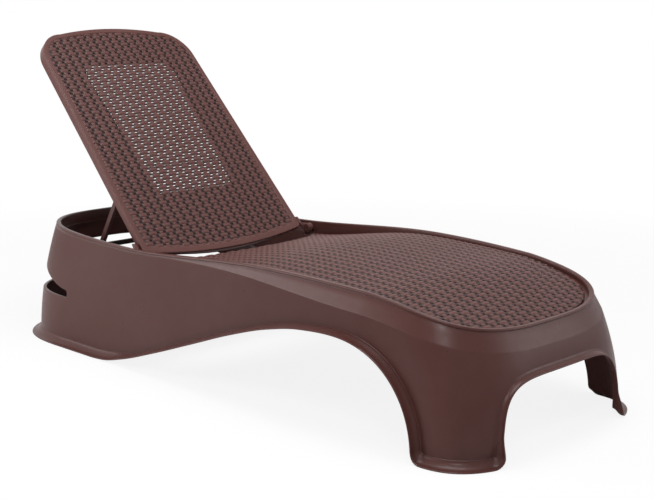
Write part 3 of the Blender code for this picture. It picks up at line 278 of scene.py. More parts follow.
def plastic(name, colour, pale, roughness, edge_light, grain_size=900.0):
    """A Principled material fed by the two groups: moulded skin, then painted edge highlight and crease
    shade.
    """
    finish = bpy.data.materials.new(name)
    finish.use_nodes = True
    tree = finish.node_tree
    shader = tree.nodes["Principled BSDF"].inputs
    skin = put(tree, "ShaderNodeGroup", node_tree=MOULDED_SKIN, Colour=colour, Pale_Colour=pale)
    feed(tree, skin.inputs["Gloss Level"], roughness)
    feed(tree, skin.inputs["Grain Size"], grain_size)
    edges = put(tree, "ShaderNodeGroup", node_tree=PAINTED_EDGE_LIGHT, name="edges", Rubbed_Amount=edge_light)
    feed(tree, edges.inputs["Colour"], skin.outputs["Colour"])
    # The painted highlight colour for edges, then the painted shade colour for creases.
    feed(tree, edges.inputs["Rubbed Colour"], [min(1.0, EDGE_HIGHLIGHT_PALER * part) for part in pale[:3]] + [1])
    feed(tree, edges.inputs["Crease Shade Colour"], [CREASE_SHADE_DARKER * part for part in colour[:3]] + [1])
    bump = put(tree, "ShaderNodeBump", Strength=0.5, Distance=GRAIN_DEEP, Height=skin.outputs["Height"])
    feed(tree, shader["Specular IOR Level"], SPECULAR_LEVEL)
    feed(tree, shader["Base Color"], edges.outputs["Colour"])
    feed(tree, shader["Roughness"], skin.outputs["Roughness"])
    feed(tree, shader["Normal"], bump.outputs["Normal"])
    return finish


def piece(name, solid, finish, body, node, sharp):
    """One finished piece: a mesh with its faces turned out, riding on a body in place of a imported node."""
    points, faces = solid
    mesh = bpy.data.meshes.new(name)
    mesh.from_pydata([tuple(map(float, point)) for point in points], [], faces)
    turned_out = bmesh.new()
    turned_out.from_mesh(mesh)
    bmesh.ops.recalc_face_normals(turned_out, faces=turned_out.faces)
    turned_out.to_mesh(mesh)
    turned_out.free()
    mesh.materials.append(finish)
    mesh.shade_smooth()
    mesh.set_sharp_from_angle(angle=math.radians(sharp))
    item = bpy.data.objects.new(name, mesh)
    scene.collection.objects.link(item)
    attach(item, body)
    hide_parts(node)
    return item


def smooth_share(value, start, end):
    """A share that eases from 0 at the start to 1 at the end."""
    share = min(max((value - start) / (end - start), 0.0), 1.0)
    return share * share * (3 - 2 * share)


def through(places, value):
    """Height of a smooth curve through (place, height) pairs, level at both ends."""
    xs, ys = [p for p, _ in places], [h for _, h in places]
    slopes = [0.0] * len(xs)
    for k in range(1, len(xs) - 1):
        before = (ys[k] - ys[k - 1]) / (xs[k] - xs[k - 1])
        after = (ys[k + 1] - ys[k]) / (xs[k + 1] - xs[k])
        slopes[k] = 2 * before * after / (before + after) if before * after > 0 else 0.0
    k = min(max(int(np.searchsorted(xs, value)) - 1, 0), len(xs) - 2)
    width = xs[k + 1] - xs[k]
    t = min(max((value - xs[k]) / width, 0.0), 1.0)
    lean_in, lean_out = slopes[k] * width, slopes[k + 1] * width
    return (
        ys[k] * (1 + 2 * t) * (1 - t) ** 2
        + lean_in * t * (1 - t) ** 2
        + ys[k + 1] * t * t * (3 - 2 * t)
        + lean_out * t * t * (t - 1)
    )


def cap_share(inside, depth, power):
    """How much of the full width an end keeps this far inside its tip."""
    if inside >= depth:
        return 1.0
    return max(1 - (1 - inside / depth) ** power, 0.0) ** (1 / power)


def rim_half(x):
    """Half the width of the rim's outer edge."""
    end = RIM_LENGTH / 2
    if x < RIM_WIDEST_X:
        fall, reach = RIM_HALF_WIDEST - RIM_HALF_HEAD, RIM_HEAD_X - RIM_WIDEST_X
    else:
        fall, reach = RIM_HALF_WIDEST - RIM_HALF_FOOT, RIM_FOOT_X - RIM_WIDEST_X
    half = RIM_HALF_WIDEST - fall * ((x - RIM_WIDEST_X) / reach) ** 2
    head = cap_share(end + x, RIM_HEAD_CAP, RIM_HEAD_POWER)
    return half * head * cap_share(end - x, RIM_FOOT_CAP, RIM_FOOT_POWER)


def foot_tip():
    """How far the foot end's wall would reach on the floor, if no arch were cut there."""
    share = FOOT_ARCH_HALF / (BODY_WIDTH / 2 - HEM_OUT)
    bow = HEM_FOOT_CAP * (1 - (1 - share**HEM_FOOT_POWER) ** (1 / HEM_FOOT_POWER))
    return BODY_LENGTH / 2 - HEM_OUT + bow


def ground_half(x):
    """Half the width of the wall's line on the floor, inside the flange."""
    half = BODY_WIDTH / 2 - HEM_OUT
    head = cap_share(BODY_LENGTH / 2 - HEM_OUT + x, HEM_HEAD_CAP, HEM_HEAD_POWER)
    return half * head * cap_share(foot_tip() - x, HEM_FOOT_CAP, HEM_FOOT_POWER)


def rim_z(x):
    """The rim is nearly level, then rolls over from its last level stretch down to the foot end."""
    foot = RIM_LENGTH / 2
    if x > RIM_FALL_X:
        share = (x - RIM_FALL_X) / (foot - RIM_FALL_X)
        bend = RIM_FALL_SHARE * share + (1 - RIM_FALL_SHARE) * share * share
        return RIM_FALL_Z - (RIM_FALL_Z - RIM_FOOT_Z) * bend
    places = (
        (-foot, RIM_HEAD_Z), (RIM_HINGE_X, RIM_HINGE_Z), (RIM_PEAK_X, RIM_PEAK_Z),
        (RIM_FALL_X, RIM_FALL_Z), (foot, RIM_FOOT_Z),
    )
    return through(places, x)


class Plan:
    """The body's plan from the middle of the head end, along one side, to the middle of the foot end."""

    SAMPLES = 3000
    STEP = 0.004

    def __init__(self):
        turns = np.linspace(0, math.pi, self.SAMPLES)
        rim_x = -np.cos(turns) * RIM_LENGTH / 2
        head, foot = BODY_LENGTH / 2 - HEM_OUT, foot_tip()
        ground_x = (foot - head) / 2 - np.cos(turns) * (foot + head) / 2
        self.rim = np.array([(x, -rim_half(x)) for x in rim_x])
        self.ground = np.array([(x, -ground_half(x)) for x in ground_x])
        steps = np.linalg.norm(np.diff((self.rim + self.ground) / 2, axis=0), axis=1)
        self.at = np.concatenate([[0], np.cumsum(steps)])
        self.length = self.at[-1]
        self.at /= self.length

    def point(self, way, share):
        """The plan at this way round (0 head, 1 foot), from the rim (share 0) out to the floor (1)."""
        mirror = 1
        if way < 0 or way > 1:
            way, mirror = (-way if way < 0 else 2 - way), -1
        line = self.rim + (self.ground - self.rim) * share
        x = np.interp(way, self.at, line[:, 0])
        return Vector((x, mirror * np.interp(way, self.at, line[:, 1]), 0))

    def outward(self, way, share):
        along = self.point(way + self.STEP, share) - self.point(way - self.STEP, share)
        return Vector((along.y, -along.x, 0)).normalized()

    def way_at_x(self, x):
        return float(np.interp(x, self.ground[:, 0], self.at))

    def way_at_foot_y(self, y):
        foot = self.ground[:, 0] > BODY_LENGTH / 2 - HEM_OUT - HEM_FOOT_CAP
        return float(np.interp(-y, self.ground[foot][:, 1], self.at[foot]))


PLAN = Plan()


def crease(way):
    """Where the chamfer under the rim meets the wall: its height, and how far out it stands."""
    x = PLAN.point(way, 0).x
    share = smooth_share(x, SHOULDER_START_X, SHOULDER_FULL_X)
    return rim_z(x) - EDGE_DROP - SHOULDER_DROP * share, SHOULDER_OUT * share


def wall_point(way, z):
    """A point of the outer wall below the crease, and the level direction that points out of it."""
    top, out = crease(way)
    rise = min(max(z / top, 0.0), 1.0)
    share = 1 - rise**WALL_BULGE_POWER
    normal = PLAN.outward(way, share)
    out = out * (1 - share) + FOOT_BULGE * max(normal.x, 0.0) ** 2 * 4 * rise * (1 - rise)
    return PLAN.point(way, share) + normal * out + Vector((0, 0, z)), normal


def hem_high(z):
    """How far the flange's flare reaches up the wall: more along the floor than round the arches."""
    return HEM_FLOOR_HIGH + (HEM_ARCH_HIGH - HEM_FLOOR_HIGH) * smooth_share(z, 0.0, LEG_CORNER)


def hem_slim(normal, z):
    """The share of the flange's width that is left: it narrows round the foot end's arch."""
    facing = smooth_share(normal.x, *HEM_FACING_SHARES)
    return 1 - HEM_FOOT_SHARE * facing * smooth_share(z, HEM_FOOT_START_Z, HEM_FOOT_FULL_Z)


def leg_edge(top, foot, high, power):
    """The edge from an arch's top down to where the leg's rounded corner starts."""
    lowest = math.asin(min((LEG_CORNER / high) ** (power / 2), 1.0))
    edge = []
    for k in range(PATH_STEPS + 1):
        turn = math.pi / 2 + (lowest - math.pi / 2) * k / PATH_STEPS
        way = top + (foot - top) * math.cos(turn) ** (2 / power)
        edge.append((way, high * math.sin(turn) ** (2 / power)))
    return edge


def round_corner(way, corner, rising):
    """The rounded lower corner of a leg, from its steep edge to the floor or back up."""
    turns = [math.pi / 2 * k / PATH_STEPS for k in range(1, PATH_STEPS)]
    turned_corner = [(way + corner * (1 - math.cos(t)), LEG_CORNER * (1 - math.sin(t))) for t in turns]
    return turned_corner[::-1] if rising else turned_corner


def bottom_path():
    """The lower edge of the skirt as (way, height), from the head middle to the foot middle."""
    start, top, leg = (PLAN.way_at_x(x) for x in (ARCH_START_X, ARCH_TOP_X, LEG_X))
    face = PLAN.way_at_foot_y(FOOT_ARCH_HALF)
    corner = LEG_CORNER / PLAN.length
    path = [(start * k / PATH_STEPS, 0.0) for k in range(PATH_STEPS)]
    for k in range(PATH_STEPS):
        share = k / PATH_STEPS
        path.append((start + (top - start) * share, ARCH_HIGH * through(ARCH_RISE_SHARES, share)))
    path += leg_edge(top, leg, ARCH_HIGH, ARCH_LEG_POWER)
    path += round_corner(leg, corner, False)
    path += round_corner(face, -corner, True)
    path += reversed(leg_edge(1.0, face, FOOT_ARCH_HIGH, FOOT_ARCH_POWER))
    return path


def even_columns(count):
    """(way, height, way at the rim) at even steps along the lower edge.

    Above a leg's steep edges the ways at the rim are spread evenly, so that no two columns cross.
    """
    path = bottom_path()
    spots = np.array([tuple(wall_point(way, z)[0]) for way, z in path])
    run = np.concatenate([[0], np.cumsum(np.linalg.norm(np.diff(spots, axis=0), axis=1))])
    wanted = np.linspace(0, run[-1], count + 1)
    path_ways = np.array([way for way, _ in path])
    ways = np.interp(wanted, run, path_ways)
    heights = np.interp(wanted, run, [z for _, z in path])
    first = 2 * PATH_STEPS + round(PATH_STEPS * STEEP_SHARE)
    last = len(path) - 1 - round(PATH_STEPS * STEEP_SHARE)
    path_ways[first:last] = np.interp(run[first:last], run[[first, last]], path_ways[[first, last]])
    rim_ways = np.interp(wanted, run, path_ways)
    ways[-1] = rim_ways[-1] = 1.0
    return list(zip(ways, heights, rim_ways))


def arc(across, up, radius, start, end, steps):
    """Points of an arc in a section; the angles are in degrees."""
    turns = [math.radians(start + (end - start) * k / steps) for k in range(steps + 1)]
    return [(across + radius * math.cos(turn), up + radius * math.sin(turn)) for turn in turns]


def seat_drop(x):
    """How far the seat's edge lies under the rim."""
    return SEAT_DROP_HINGE + (SEAT_DROP_FOOT - SEAT_DROP_HINGE) * smooth_share(x, SEAT_HEAD_X, SEAT_DROP_X)


def body_section(column, before, after):
    """One column of the shell: its closed section, the (way, height) of each wall row, and where the
    outer and the inner wall start in the section.
    """
    way, z, rim_way = column
    rim, out = PLAN.point(rim_way, 0), PLAN.outward(rim_way, 0)
    top = rim_z(rim.x)
    _, normal = wall_point(way, z)
    slim, high = hem_slim(normal, z), hem_high(z)
    run = (wall_point(*after)[0] - wall_point(*before)[0]).normalized()
    down = run.cross(normal).normalized()
    lean = down.dot(Vector((-normal.y, normal.x, 0))) / PLAN.length

    def at_rim(inside, height):
        return rim - out * inside + Vector((0, 0, top + height))

    def at_hem(level, outside):
        spot, facing = wall_point(way + level * lean, z + level * down.z)
        return spot + facing * (outside * slim if outside > 0 else outside)

    def flare(part):
        return -HEM_EDGE - (high - HEM_EDGE) * (1 - part) ** HEM_FLARE_POWER

    rim_top = arc(RIM_TOP - RIM_ROUND, -RIM_ROUND, RIM_ROUND, 0, 90, ROUND_STEPS)
    rim_top += arc(RIM_ROUND, -RIM_ROUND, RIM_ROUND, 90, 180, ROUND_STEPS)
    section = [at_rim(*spot) for spot in rim_top] + [at_rim(0, -EDGE_DROP)]
    section += [at_rim(BEAD_DEEP, -EDGE_DROP - BEAD_HIGH * part) for part in BEAD_SHARES]
    chamfer_top = at_rim(CHAMFER_INSET, -EDGE_DROP - BEAD_HIGH)
    crease_z = crease(rim_way)[0] - BEAD_HIGH - SOFT_EDGE
    chamfer_foot, _ = wall_point(rim_way, crease_z)
    section += [chamfer_top.lerp(chamfer_foot, part) for part in CHAMFER_ROW_SHARES]
    foot_way = way - (high + HEM_BEAD) * lean
    foot_z = z - (high + HEM_BEAD) * down.z
    rows = []
    for row in range(WALL_ROWS + 1):
        part = (row / WALL_ROWS) ** WALL_ROW_POWER
        rows.append((rim_way + (foot_way - rim_way) * part, crease_z + (foot_z - crease_z) * part))
    wall = [wall_point(*row) for row in rows]
    outer = len(section)
    section += [spot for spot, _ in wall]
    section += [at_hem(-high - HEM_BEAD / 3, HEM_BEAD), at_hem(-high + HEM_BEAD, HEM_BEAD)]
    parts = [k / HEM_STEPS for k in range(1, HEM_STEPS)]
    section += [at_hem(flare(part), HEM_OUT * part) for part in parts]
    section += [at_hem(-HEM_EDGE, HEM_OUT - HEM_EASE), at_hem(-HEM_EDGE + HEM_EASE, HEM_OUT)]
    section += [at_hem(-HEM_EASE, HEM_OUT), at_hem(0, HEM_OUT - HEM_EASE), at_hem(0, HEM_OUT - WALL)]
    section += [at_hem(min(flare(part) + WALL, 0), HEM_OUT * part) for part in reversed(parts)]
    section += [at_hem(min(WALL - high, 0), -WALL)]
    inner = len(section)
    section += [spot - facing * WALL for spot, facing in reversed(wall)]
    seated = smooth_share(rim.x, SEAT_HEAD_X - LEDGE_FROM, SEAT_HEAD_X - LEDGE_TO)
    ledge_z = -INNER_LIP + (INNER_LIP - seat_drop(rim.x) - SEAT_THICK - SEAT_PLAY) * seated
    ledge = LIP_BEAD + (LEDGE - LIP_BEAD) * seated
    section += [at_rim(WALL, -WALL - RIM_ROUND / 2), at_rim(RIM_TOP - WALL, -WALL - RIM_ROUND / 2)]
    section += [at_rim(RIM_TOP - WALL, ledge_z - WALL), at_rim(RIM_TOP + ledge, ledge_z - WALL)]
    section += [at_rim(RIM_TOP + ledge, ledge_z), at_rim(RIM_TOP, ledge_z)]
    return section, rows, outer, inner


def slot_spot(share):
    """The slot's top edge as (way, height), from the head middle (0) to where its round end starts (1)."""
    radius = SLOT_END_HIGH / 2
    end = PLAN.way_at_x(SLOT_END_X) - radius / PLAN.length
    rise = (1 - abs(share) ** SLOT_SPREAD_POWER) ** (1 / SLOT_RISE_POWER)
    return end * share, SLOT_BOTTOM + SLOT_END_HIGH + (SLOT_MIDDLE_HIGH - SLOT_END_HIGH) * rise


def slot_edge(columns, top_row, low_row):
    """Grid places (column, row) round the slot's block, each with its place on the slot's edge."""
    radius = SLOT_END_HIGH / 2
    end, _ = slot_spot(1.0)
    middle = SLOT_BOTTOM + radius
    deep = low_row - top_row
    edge = [((column, top_row), slot_spot(column / columns)) for column in range(-columns, columns)]
    for row in range(deep):
        turn = math.pi * (0.5 - row / deep)
        place = (end + radius / PLAN.length * math.cos(turn), middle + radius * math.sin(turn))
        edge.append(((columns, top_row + row), place))
    for column in range(columns, -columns, -1):
        edge.append(((column, low_row), (end * column / columns, SLOT_BOTTOM)))
    for row in range(deep):
        turn = math.pi * (-0.5 - row / deep)
        place = (-end + radius / PLAN.length * math.cos(turn), middle + radius * math.sin(turn))
        edge.append(((-columns, low_row - row), place))
    return edge


def slot_lip(first, outer_ring, inner_ring, edge_rows):
    """Points, numbered from first, and faces that fill the block round the hand slot: the outer wall, a
    rounded lip turned inwards and the inner wall.
    """
    points, faces, rings = [], [], [outer_ring]
    ease = SLOT_ROUND * SLOT_EASE_SHARE
    layers = [(k / SLOT_RINGS, 0.0, 0.0) for k in range(1, SLOT_RINGS + 1)]
    layers += [(1.0, -ease, -ease), (1.0, -SLOT_ROUND, -SLOT_ROUND)]
    layers += [(1.0, -SLOT_ROUND, -SLOT_LIP + SLOT_ROUND), (1.0, 0.0, -SLOT_LIP)]
    layers += [(1.0, WALL - SLOT_ROUND, -SLOT_LIP), (1.0, WALL - SLOT_ROUND, -WALL)]
    layers += [(1 - k / SLOT_RINGS, 0.0, -WALL) for k in range(1, SLOT_RINGS)]
    for part, spread, level in layers:
        ring = []
        for (row_way, row_z), (way, z) in edge_rows:
            reach = math.hypot((row_way - way) * PLAN.length, row_z - z)
            wide = part - (spread / reach if part == 1.0 else 0.0)
            spot, facing = wall_point(row_way + (way - row_way) * wide, row_z + (z - row_z) * wide)
            ring.append(first + len(points))
            points.append(spot + facing * level)
        rings.append(ring)
    rings.append(inner_ring)
    for here, there in zip(rings[:-1], rings[1:]):
        for k in range(len(here)):
            turn = (k + 1) % len(here)
            faces.append((here[k], here[turn], there[turn], there[k]))
    return points, faces


def make_body_shell():
    columns = even_columns(BODY_COLUMNS)
    half, half_rows = [], []
    for k, column in enumerate(columns):
        before = columns[k - 1][:2] if k else (-columns[1][0], columns[1][1])
        after = columns[k + 1][:2] if k < BODY_COLUMNS else (2 - columns[-2][0], columns[-2][1])
        section, rows, outer, inner = body_section(column, before, after)
        half.append(section)
        half_rows.append(rows)
    for end in (0, -1):
        for spot in half[end]:
            spot.y = 0
    sections = half + [[Vector((p.x, -p.y, p.z)) for p in section] for section in half[-2:0:-1]]
    around, total = len(half[0]), len(sections)
    points = [spot for section in sections for spot in section]
    reach = PLAN.way_at_x(SLOT_END_X) + SLOT_MARGIN / PLAN.length
    wide = next(k for k, rows in enumerate(half_rows) if rows[WALL_ROWS // 2][0] > reach)
    high = next(r for r, (_, z) in enumerate(half_rows[0]) if z < slot_spot(0.0)[1] + SLOT_MARGIN / 2)
    low = next(r for r, (_, z) in enumerate(half_rows[0]) if z < SLOT_BOTTOM - SLOT_MARGIN / 2)
    faces = []
    for column in range(total):
        near = min(column, total - 1 - column)
        for row in range(around):
            in_outer = outer + high <= row < outer + low
            in_inner = inner + WALL_ROWS - low <= row < inner + WALL_ROWS - high
            if near < wide and (in_outer or in_inner):
                continue
            here, there = column * around, (column + 1) % total * around
            turn = (row + 1) % around
            faces.append((here + row, here + turn, there + turn, there + row))
    edge = slot_edge(wide, high, low)
    outer_ring = [column % total * around + outer + row for (column, row), _ in edge]
    inner_ring = [column % total * around + inner + WALL_ROWS - row for (column, row), _ in edge]
    edge_rows = []
    for (column, row), place in edge:
        way, z = half_rows[abs(column)][row]
        edge_rows.append(((way if column >= 0 else -way, z), place))
    lip_points, lip_faces = slot_lip(len(points), outer_ring, inner_ring, edge_rows)
    finish = plastic("brown_shell", BROWN, BROWN_LIGHT, roughness=0.32, edge_light=0.55)
    solid = (points + lip_points, faces + lip_faces)
    piece("moulded_shell", solid, finish, "body", "body_shell", sharp=42)


make_body_shell()

# Seat: a thin crowned panel moulded to look woven, dropped on the rim's ledge and screwed to the beams
# below. Flat strands run across it over and under stakes, with a slot beside each stake.
SEAT_HEAD_HOLLOW, SEAT_GROOVE, SEAT_CROWN = 0.135, 0.010, 0.010
SEAT_WIDEST, SEAT_CROWN_FADE_SHARE = RIM_HALF_WIDEST - RIM_TOP - SEAT_GROOVE, 0.8
SEAT_EDGE_ROLL, SEAT_EDGE_FALL, SEAT_FOOT_SLICE = 0.006, 0.0014, 0.0006
SEAT_LINE_FROM_SHARE, SEAT_LINE_SPOTS = 0.3, 600
STRAND_PITCH, STAKE_PITCH = 0.0110, 0.0310
STRAND_END_PROUD, LEAST_HALF = 0.0022, 0.0005
PILL_HALF, STAKE_HALF = 0.01425, 0.00675
PILL_HIGH, STAKE_HIGH = 0.0022, 0.0017
PILL_FLAT_POWER, STAKE_END_SHARE = 0.35, 0.4
STRAND_STEP_SHARES = (0.0, 0.13, 0.34, 0.50, 0.66, 0.87)
STAKE_STEPS = (0.0, 0.0034, STAKE_HALF, 0.0105, PILL_HALF, STAKE_PITCH - PILL_HALF, 0.0205, 0.02425, 0.0276)
WEAVE_SLOT_STEPS, WEAVE_SLOT_COLUMNS, WEAVE_SLOT_WIDE = (2, 4), (4, 2), 3
WOVEN_BROWN = (0.090, 0.032, 0.027, 1)
WOVEN_LIGHT = (0.150, 0.072, 0.066, 1)
# The painted shade colour for the weave's valleys.
WOVEN_VALLEY_SHADE = (0.012, 0.004, 0.004, 1)


def weave_height(strand, across, along):
    """Height of the relief: a raised pill where a strand passes over a stake, else the stake itself."""
    offset = (along / STAKE_PITCH + strand) % 2
    from_pill = np.minimum(offset, 2 - offset) * STAKE_PITCH
    from_stake = STAKE_PITCH - from_pill
    bow = 1 - (2 * across - 1) ** 2
    round_end = np.cos(np.pi / 2 * np.clip(from_pill / PILL_HALF, 0, 1))
    pill = round_end**PILL_FLAT_POWER * bow**PILL_FLAT_POWER * PILL_HIGH
    stake = np.sqrt(np.clip(1 - (from_stake / STAKE_HALF) ** 2, 0, 1))
    stake = stake * (STAKE_END_SHARE + (1 - STAKE_END_SHARE) * bow) * STAKE_HIGH
    return np.where(from_pill < PILL_HALF, pill, stake) - PILL_HIGH


def strand_lines(start, end):
    """The sheet's lines: each one's place, its strand, and how far across the strand it lies."""
    strands, steps = round((end - start) / STRAND_PITCH), len(STRAND_STEP_SHARES)
    pitch = (end - start) / strands
    ups = [start + (n + share) * pitch for n in range(strands) for share in STRAND_STEP_SHARES] + [end]
    strand = np.minimum(np.arange(len(ups)) // steps, strands - 1)
    across = np.array(STRAND_STEP_SHARES * strands + (1.0,))
    return np.array(ups), strand, across


def cut_slots(keep, inside, reach):
    """Drops the cells of the slot beside each stake, where the whole slot lies inside the sheet."""
    steps = len(STRAND_STEP_SHARES)
    for number in range(len(keep) // steps):
        low, high = (number * steps + step for step in WEAVE_SLOT_STEPS)
        for m in range(-reach, reach):
            begin = (m + reach) * len(STAKE_STEPS) + WEAVE_SLOT_COLUMNS[(m + number) % 2]
            end = begin + WEAVE_SLOT_WIDE
            if inside[low : high + 1, begin : end + 1].all():
                keep[low:high, begin:end] = False


def closed_sheet(top, size):
    """The sheet's top faces, the same faces on the points below them, and walls at every open edge."""
    edges = {}
    for face in top:
        for here, there in zip(face, face[1:] + face[:1]):
            if (there, here) in edges:
                del edges[(there, here)]
            else:
                edges[(here, there)] = True
    faces = top + [tuple(corner + size for corner in reversed(face)) for face in top]
    return faces + [(there, here, here + size, there + size) for here, there in edges]


def woven_sheet(start, end, half_at, gap_at, place, under, roll, fall):
    """Points, faces and heights of a sheet of strands, clipped to its outline and pierced by its slots.

    half_at gives half the width at each place up the sheet, gap_at half the width left out of its middle.
    """
    ups, strand, across = strand_lines(start, end)
    half = np.array([half_at(up) for up in ups])[:, None]
    gap = np.array([gap_at(up) for up in ups])[:, None]
    reach = math.ceil(half.max() / STAKE_PITCH) + 1
    along = np.array([m * STAKE_PITCH + step for m in range(-reach, reach) for step in STAKE_STEPS])
    lines, count = len(ups), len(along)
    middle = count // 2
    first = np.searchsorted(along, -half, side="right") - 1
    last = np.searchsorted(along, half, side="left")
    index = np.clip(np.tile(np.arange(count), (lines, 1)), first, last)
    left = np.searchsorted(along, -gap[:, 0], side="left")
    right = np.searchsorted(along, gap[:, 0], side="right") - 1
    open_middle = gap[:, 0] > 0
    for line in np.flatnonzero(open_middle):
        index[line, left[line] : middle] = left[line]
        index[line, middle : right[line] + 1] = right[line]
    spread = np.clip(along[index], -half, half)
    held = np.maximum(np.abs(spread), gap)
    spread = np.where(index < middle, -held, held)
    near_edge = np.clip(1 - (half - np.abs(spread)) / roll, 0, 1)
    height = weave_height(strand[:, None], across[:, None], spread) - fall * near_edge**2
    inside = (index == np.arange(count)) & (np.abs(spread) < half - roll / 2)
    inside &= (np.abs(spread) > gap) | (gap == 0)
    keep = np.ones((lines - 1, count - 1), bool)
    keep[open_middle[:-1] & open_middle[1:], middle - 1] = False
    cut_slots(keep, inside, reach)
    ids = np.arange(lines)[:, None] * count + index
    cells = np.stack([ids[:-1, :-1], ids[:-1, 1:], ids[1:, 1:], ids[1:, :-1]], axis=-1)[keep]
    top = [tuple(dict.fromkeys(cell)) for cell in cells.tolist() if len(set(cell)) > 2]
    used = sorted({corner for face in top for corner in face})
    renumber = {corner: k for k, corner in enumerate(used)}
    top = [tuple(renumber[corner] for corner in face) for face in top]
    rows, cols = np.array(used) // count, np.array(used) % count
    upper = place(ups[rows], spread[rows, cols], height[rows, cols])
    lower = place(ups[rows], spread[rows, cols], np.full(len(used), -under))
    return np.concatenate([upper, lower]), closed_sheet(top, len(used)), height[rows, cols]


def seat_outline():
    """One side of the seat's edge as (x, half width): the rim's line, moved in by its top and the groove."""
    line = []
    for way in np.linspace(SEAT_LINE_FROM_SHARE, 1.0, SEAT_LINE_SPOTS):
        spot = PLAN.point(way, 0) - PLAN.outward(way, 0) * (RIM_TOP + SEAT_GROOVE)
        line.append((spot.x, -spot.y))
    return np.array(line)


SEAT_LINE = seat_outline()


def seat_half(x):
    return float(np.interp(x, SEAT_LINE[:, 0], SEAT_LINE[:, 1]))


def seat_edge(x):
    """The seat's edge, with each strand's end a little proud."""
    across = (x - SEAT_HEAD_X) / STRAND_PITCH % 1.0
    return max(seat_half(x) - STRAND_END_PROUD * (2 * across - 1) ** 2, LEAST_HALF)


def seat_gap(x):
    """The head edge is hollow, so the first strands are left out of the middle."""
    share = (x - SEAT_HEAD_X) / SEAT_HEAD_HOLLOW
    return seat_half(x) * math.sqrt(1 - share) if share < 1 else 0.0


def seat_middle(x):
    """Height of the seat's edge and its crown: at the foot end it lies under the rim beyond it."""
    fade = smooth_share(x, RIM_FALL_X, RIM_LENGTH / 2 - RIM_TOP - SEAT_GROOVE)
    edge = rim_z(x + (RIM_TOP + SEAT_GROOVE) * fade) - seat_drop(x)
    return edge, SEAT_CROWN * (1 - SEAT_CROWN_FADE_SHARE * fade)


def seat_place(x, y, height):
    levels = {up: seat_middle(up) for up in np.unique(x)}
    edge, crown = np.array([levels[up] for up in x]).T
    share = np.clip(np.abs(y) / SEAT_WIDEST, 0, 1)
    return np.stack([x, y, edge + crown * (1 - share**2) + height], axis=1)


def woven(name):
    """The woven parts' plastic: crests painted paler as a highlight, from how the surface bends, and valleys
    painted darker as shade, from the relief's height.
    """
    finish = plastic(name, WOVEN_BROWN, WOVEN_LIGHT, roughness=0.42, edge_light=0.9, grain_size=1100.0)
    tree = finish.node_tree
    relief = put(tree, "ShaderNodeAttribute", attribute_name="relief").outputs["Fac"]
    # Painted shade: the lower the relief, the darker the colour.
    deep = rescale(tree, relief, -0.55, -1.0, 0.0, 0.85)
    colour = blend(tree, deep, tree.nodes["edges"].outputs["Colour"], WOVEN_VALLEY_SHADE)
    feed(tree, tree.nodes["Principled BSDF"].inputs["Base Color"], colour)
    return finish


def keep_relief(item, heights):
    """Writes each point's height in the weave, as a share of a pill's, where the shader reads it."""
    values = np.zeros(len(item.data.vertices), np.float32)
    values[: len(heights)] = heights / PILL_HIGH
    item.data.attributes.new("relief", "FLOAT", "POINT").data.foreach_set("value", values)


def make_seat():
    end = RIM_LENGTH / 2 - RIM_TOP - SEAT_GROOVE - SEAT_FOOT_SLICE
    under = SEAT_THICK - SEAT_PLAY
    points, faces, heights = woven_sheet(
        SEAT_HEAD_X, end, seat_edge, seat_gap, seat_place, under, SEAT_EDGE_ROLL, SEAT_EDGE_FALL
    )
    finish = woven("woven_seat_brown")
    seat = piece("woven_seat", (points, faces), finish, "body", "seat_panel", sharp=60)
    keep_relief(seat, heights)


make_seat()

# Back: a shallow tray of the same woven relief inside a plain border, with a deep skirt and an eye at each
# lower corner. It turns on two pins in the rim and is screwed to the ring frame behind it.
BACK_ANGLE = math.radians(47.0)
HINGE_X, HINGE_Z = -0.255, 0.329
BACK_START, BACK_FACE, BACK_HALF, BACK_SIDE = 0.020, -0.013, 0.3135, 0.741
BACK_TAPER, BACK_CORNER, BACK_TOP_RISE, BACK_FOOT_SAG = 0.024, 0.102, 0.0193, 0.030
BACK_LOW_ROUND, BACK_LOW_SHARES = 0.010, (0.25, 0.5, 0.75, 1.0)
BACK_DEEP, BACK_SKIN, BACK_STEPS = 0.033, 0.0045, 28
BACK_EDGE, BACK_EDGE_STEPS = 0.003, 6
BACK_SHEET_PLAY, BACK_SHEET_ROLL, BACK_SHEET_FALL = 0.0004, 0.004, 0.0012
LOW_SKIRT_SHARE, LOW_SKIRT_REACH, SKIRT_ROUND = 0.45, 0.090, 0.0012
BORDER, BORDER_FLAT_FROM, BORDER_LIP, BORDER_LIP_DROP = 0.017, 0.0048, 0.006, 0.0034
BORDER_STEP = ((0.001, 0.0030), (0.0, 0.0012), (-0.0008, 0.0003), (-0.002, 0.0))
WINDOW_HALF, WINDOW_FROM, WINDOW_TO = 0.1785, 0.208, 0.718
RIB_EVERY, RIB_WIDE, RIB_DEEP, RIB_SINK, RIB_SHORT, RIB_EDGE = 9, 0.0036, 0.007, 0.001, 0.004, 0.0015
EYE_RADIUS, EYE_ARM, EYE_ARM_HIGH, EYE_ARM_CORNER = 0.0155, 0.0075, 0.0075, 0.003
EYE_ARM_SINK, EYE_ARM_FROM, EYE_ARM_TO, EYE_STEPS = 0.007, 0.034, 0.060, 20
EYE_ROUND, EYE_ROUND_SHARE, EYE_EDGE = 0.0007, 0.97, 0.0008
EYE_TURN_SHARE, EYE_WALL_PLAY = 0.35, 0.0010
PIN_HEAD_RADIUS, PIN_HEAD, PIN_RADIUS, GAP = 0.0155, 0.0080, 0.0060, 0.0003


def back_spot(up, across, level):
    """A place on the back: up from the hinge axis, across to the near side, and out of its face."""
    x = HINGE_X - up * math.cos(BACK_ANGLE) + level * math.sin(BACK_ANGLE)
    return x, -across, HINGE_Z + up * math.sin(BACK_ANGLE) + level * math.cos(BACK_ANGLE)


def in_back(up, across, level):
    return Vector(back_spot(up, across, level))


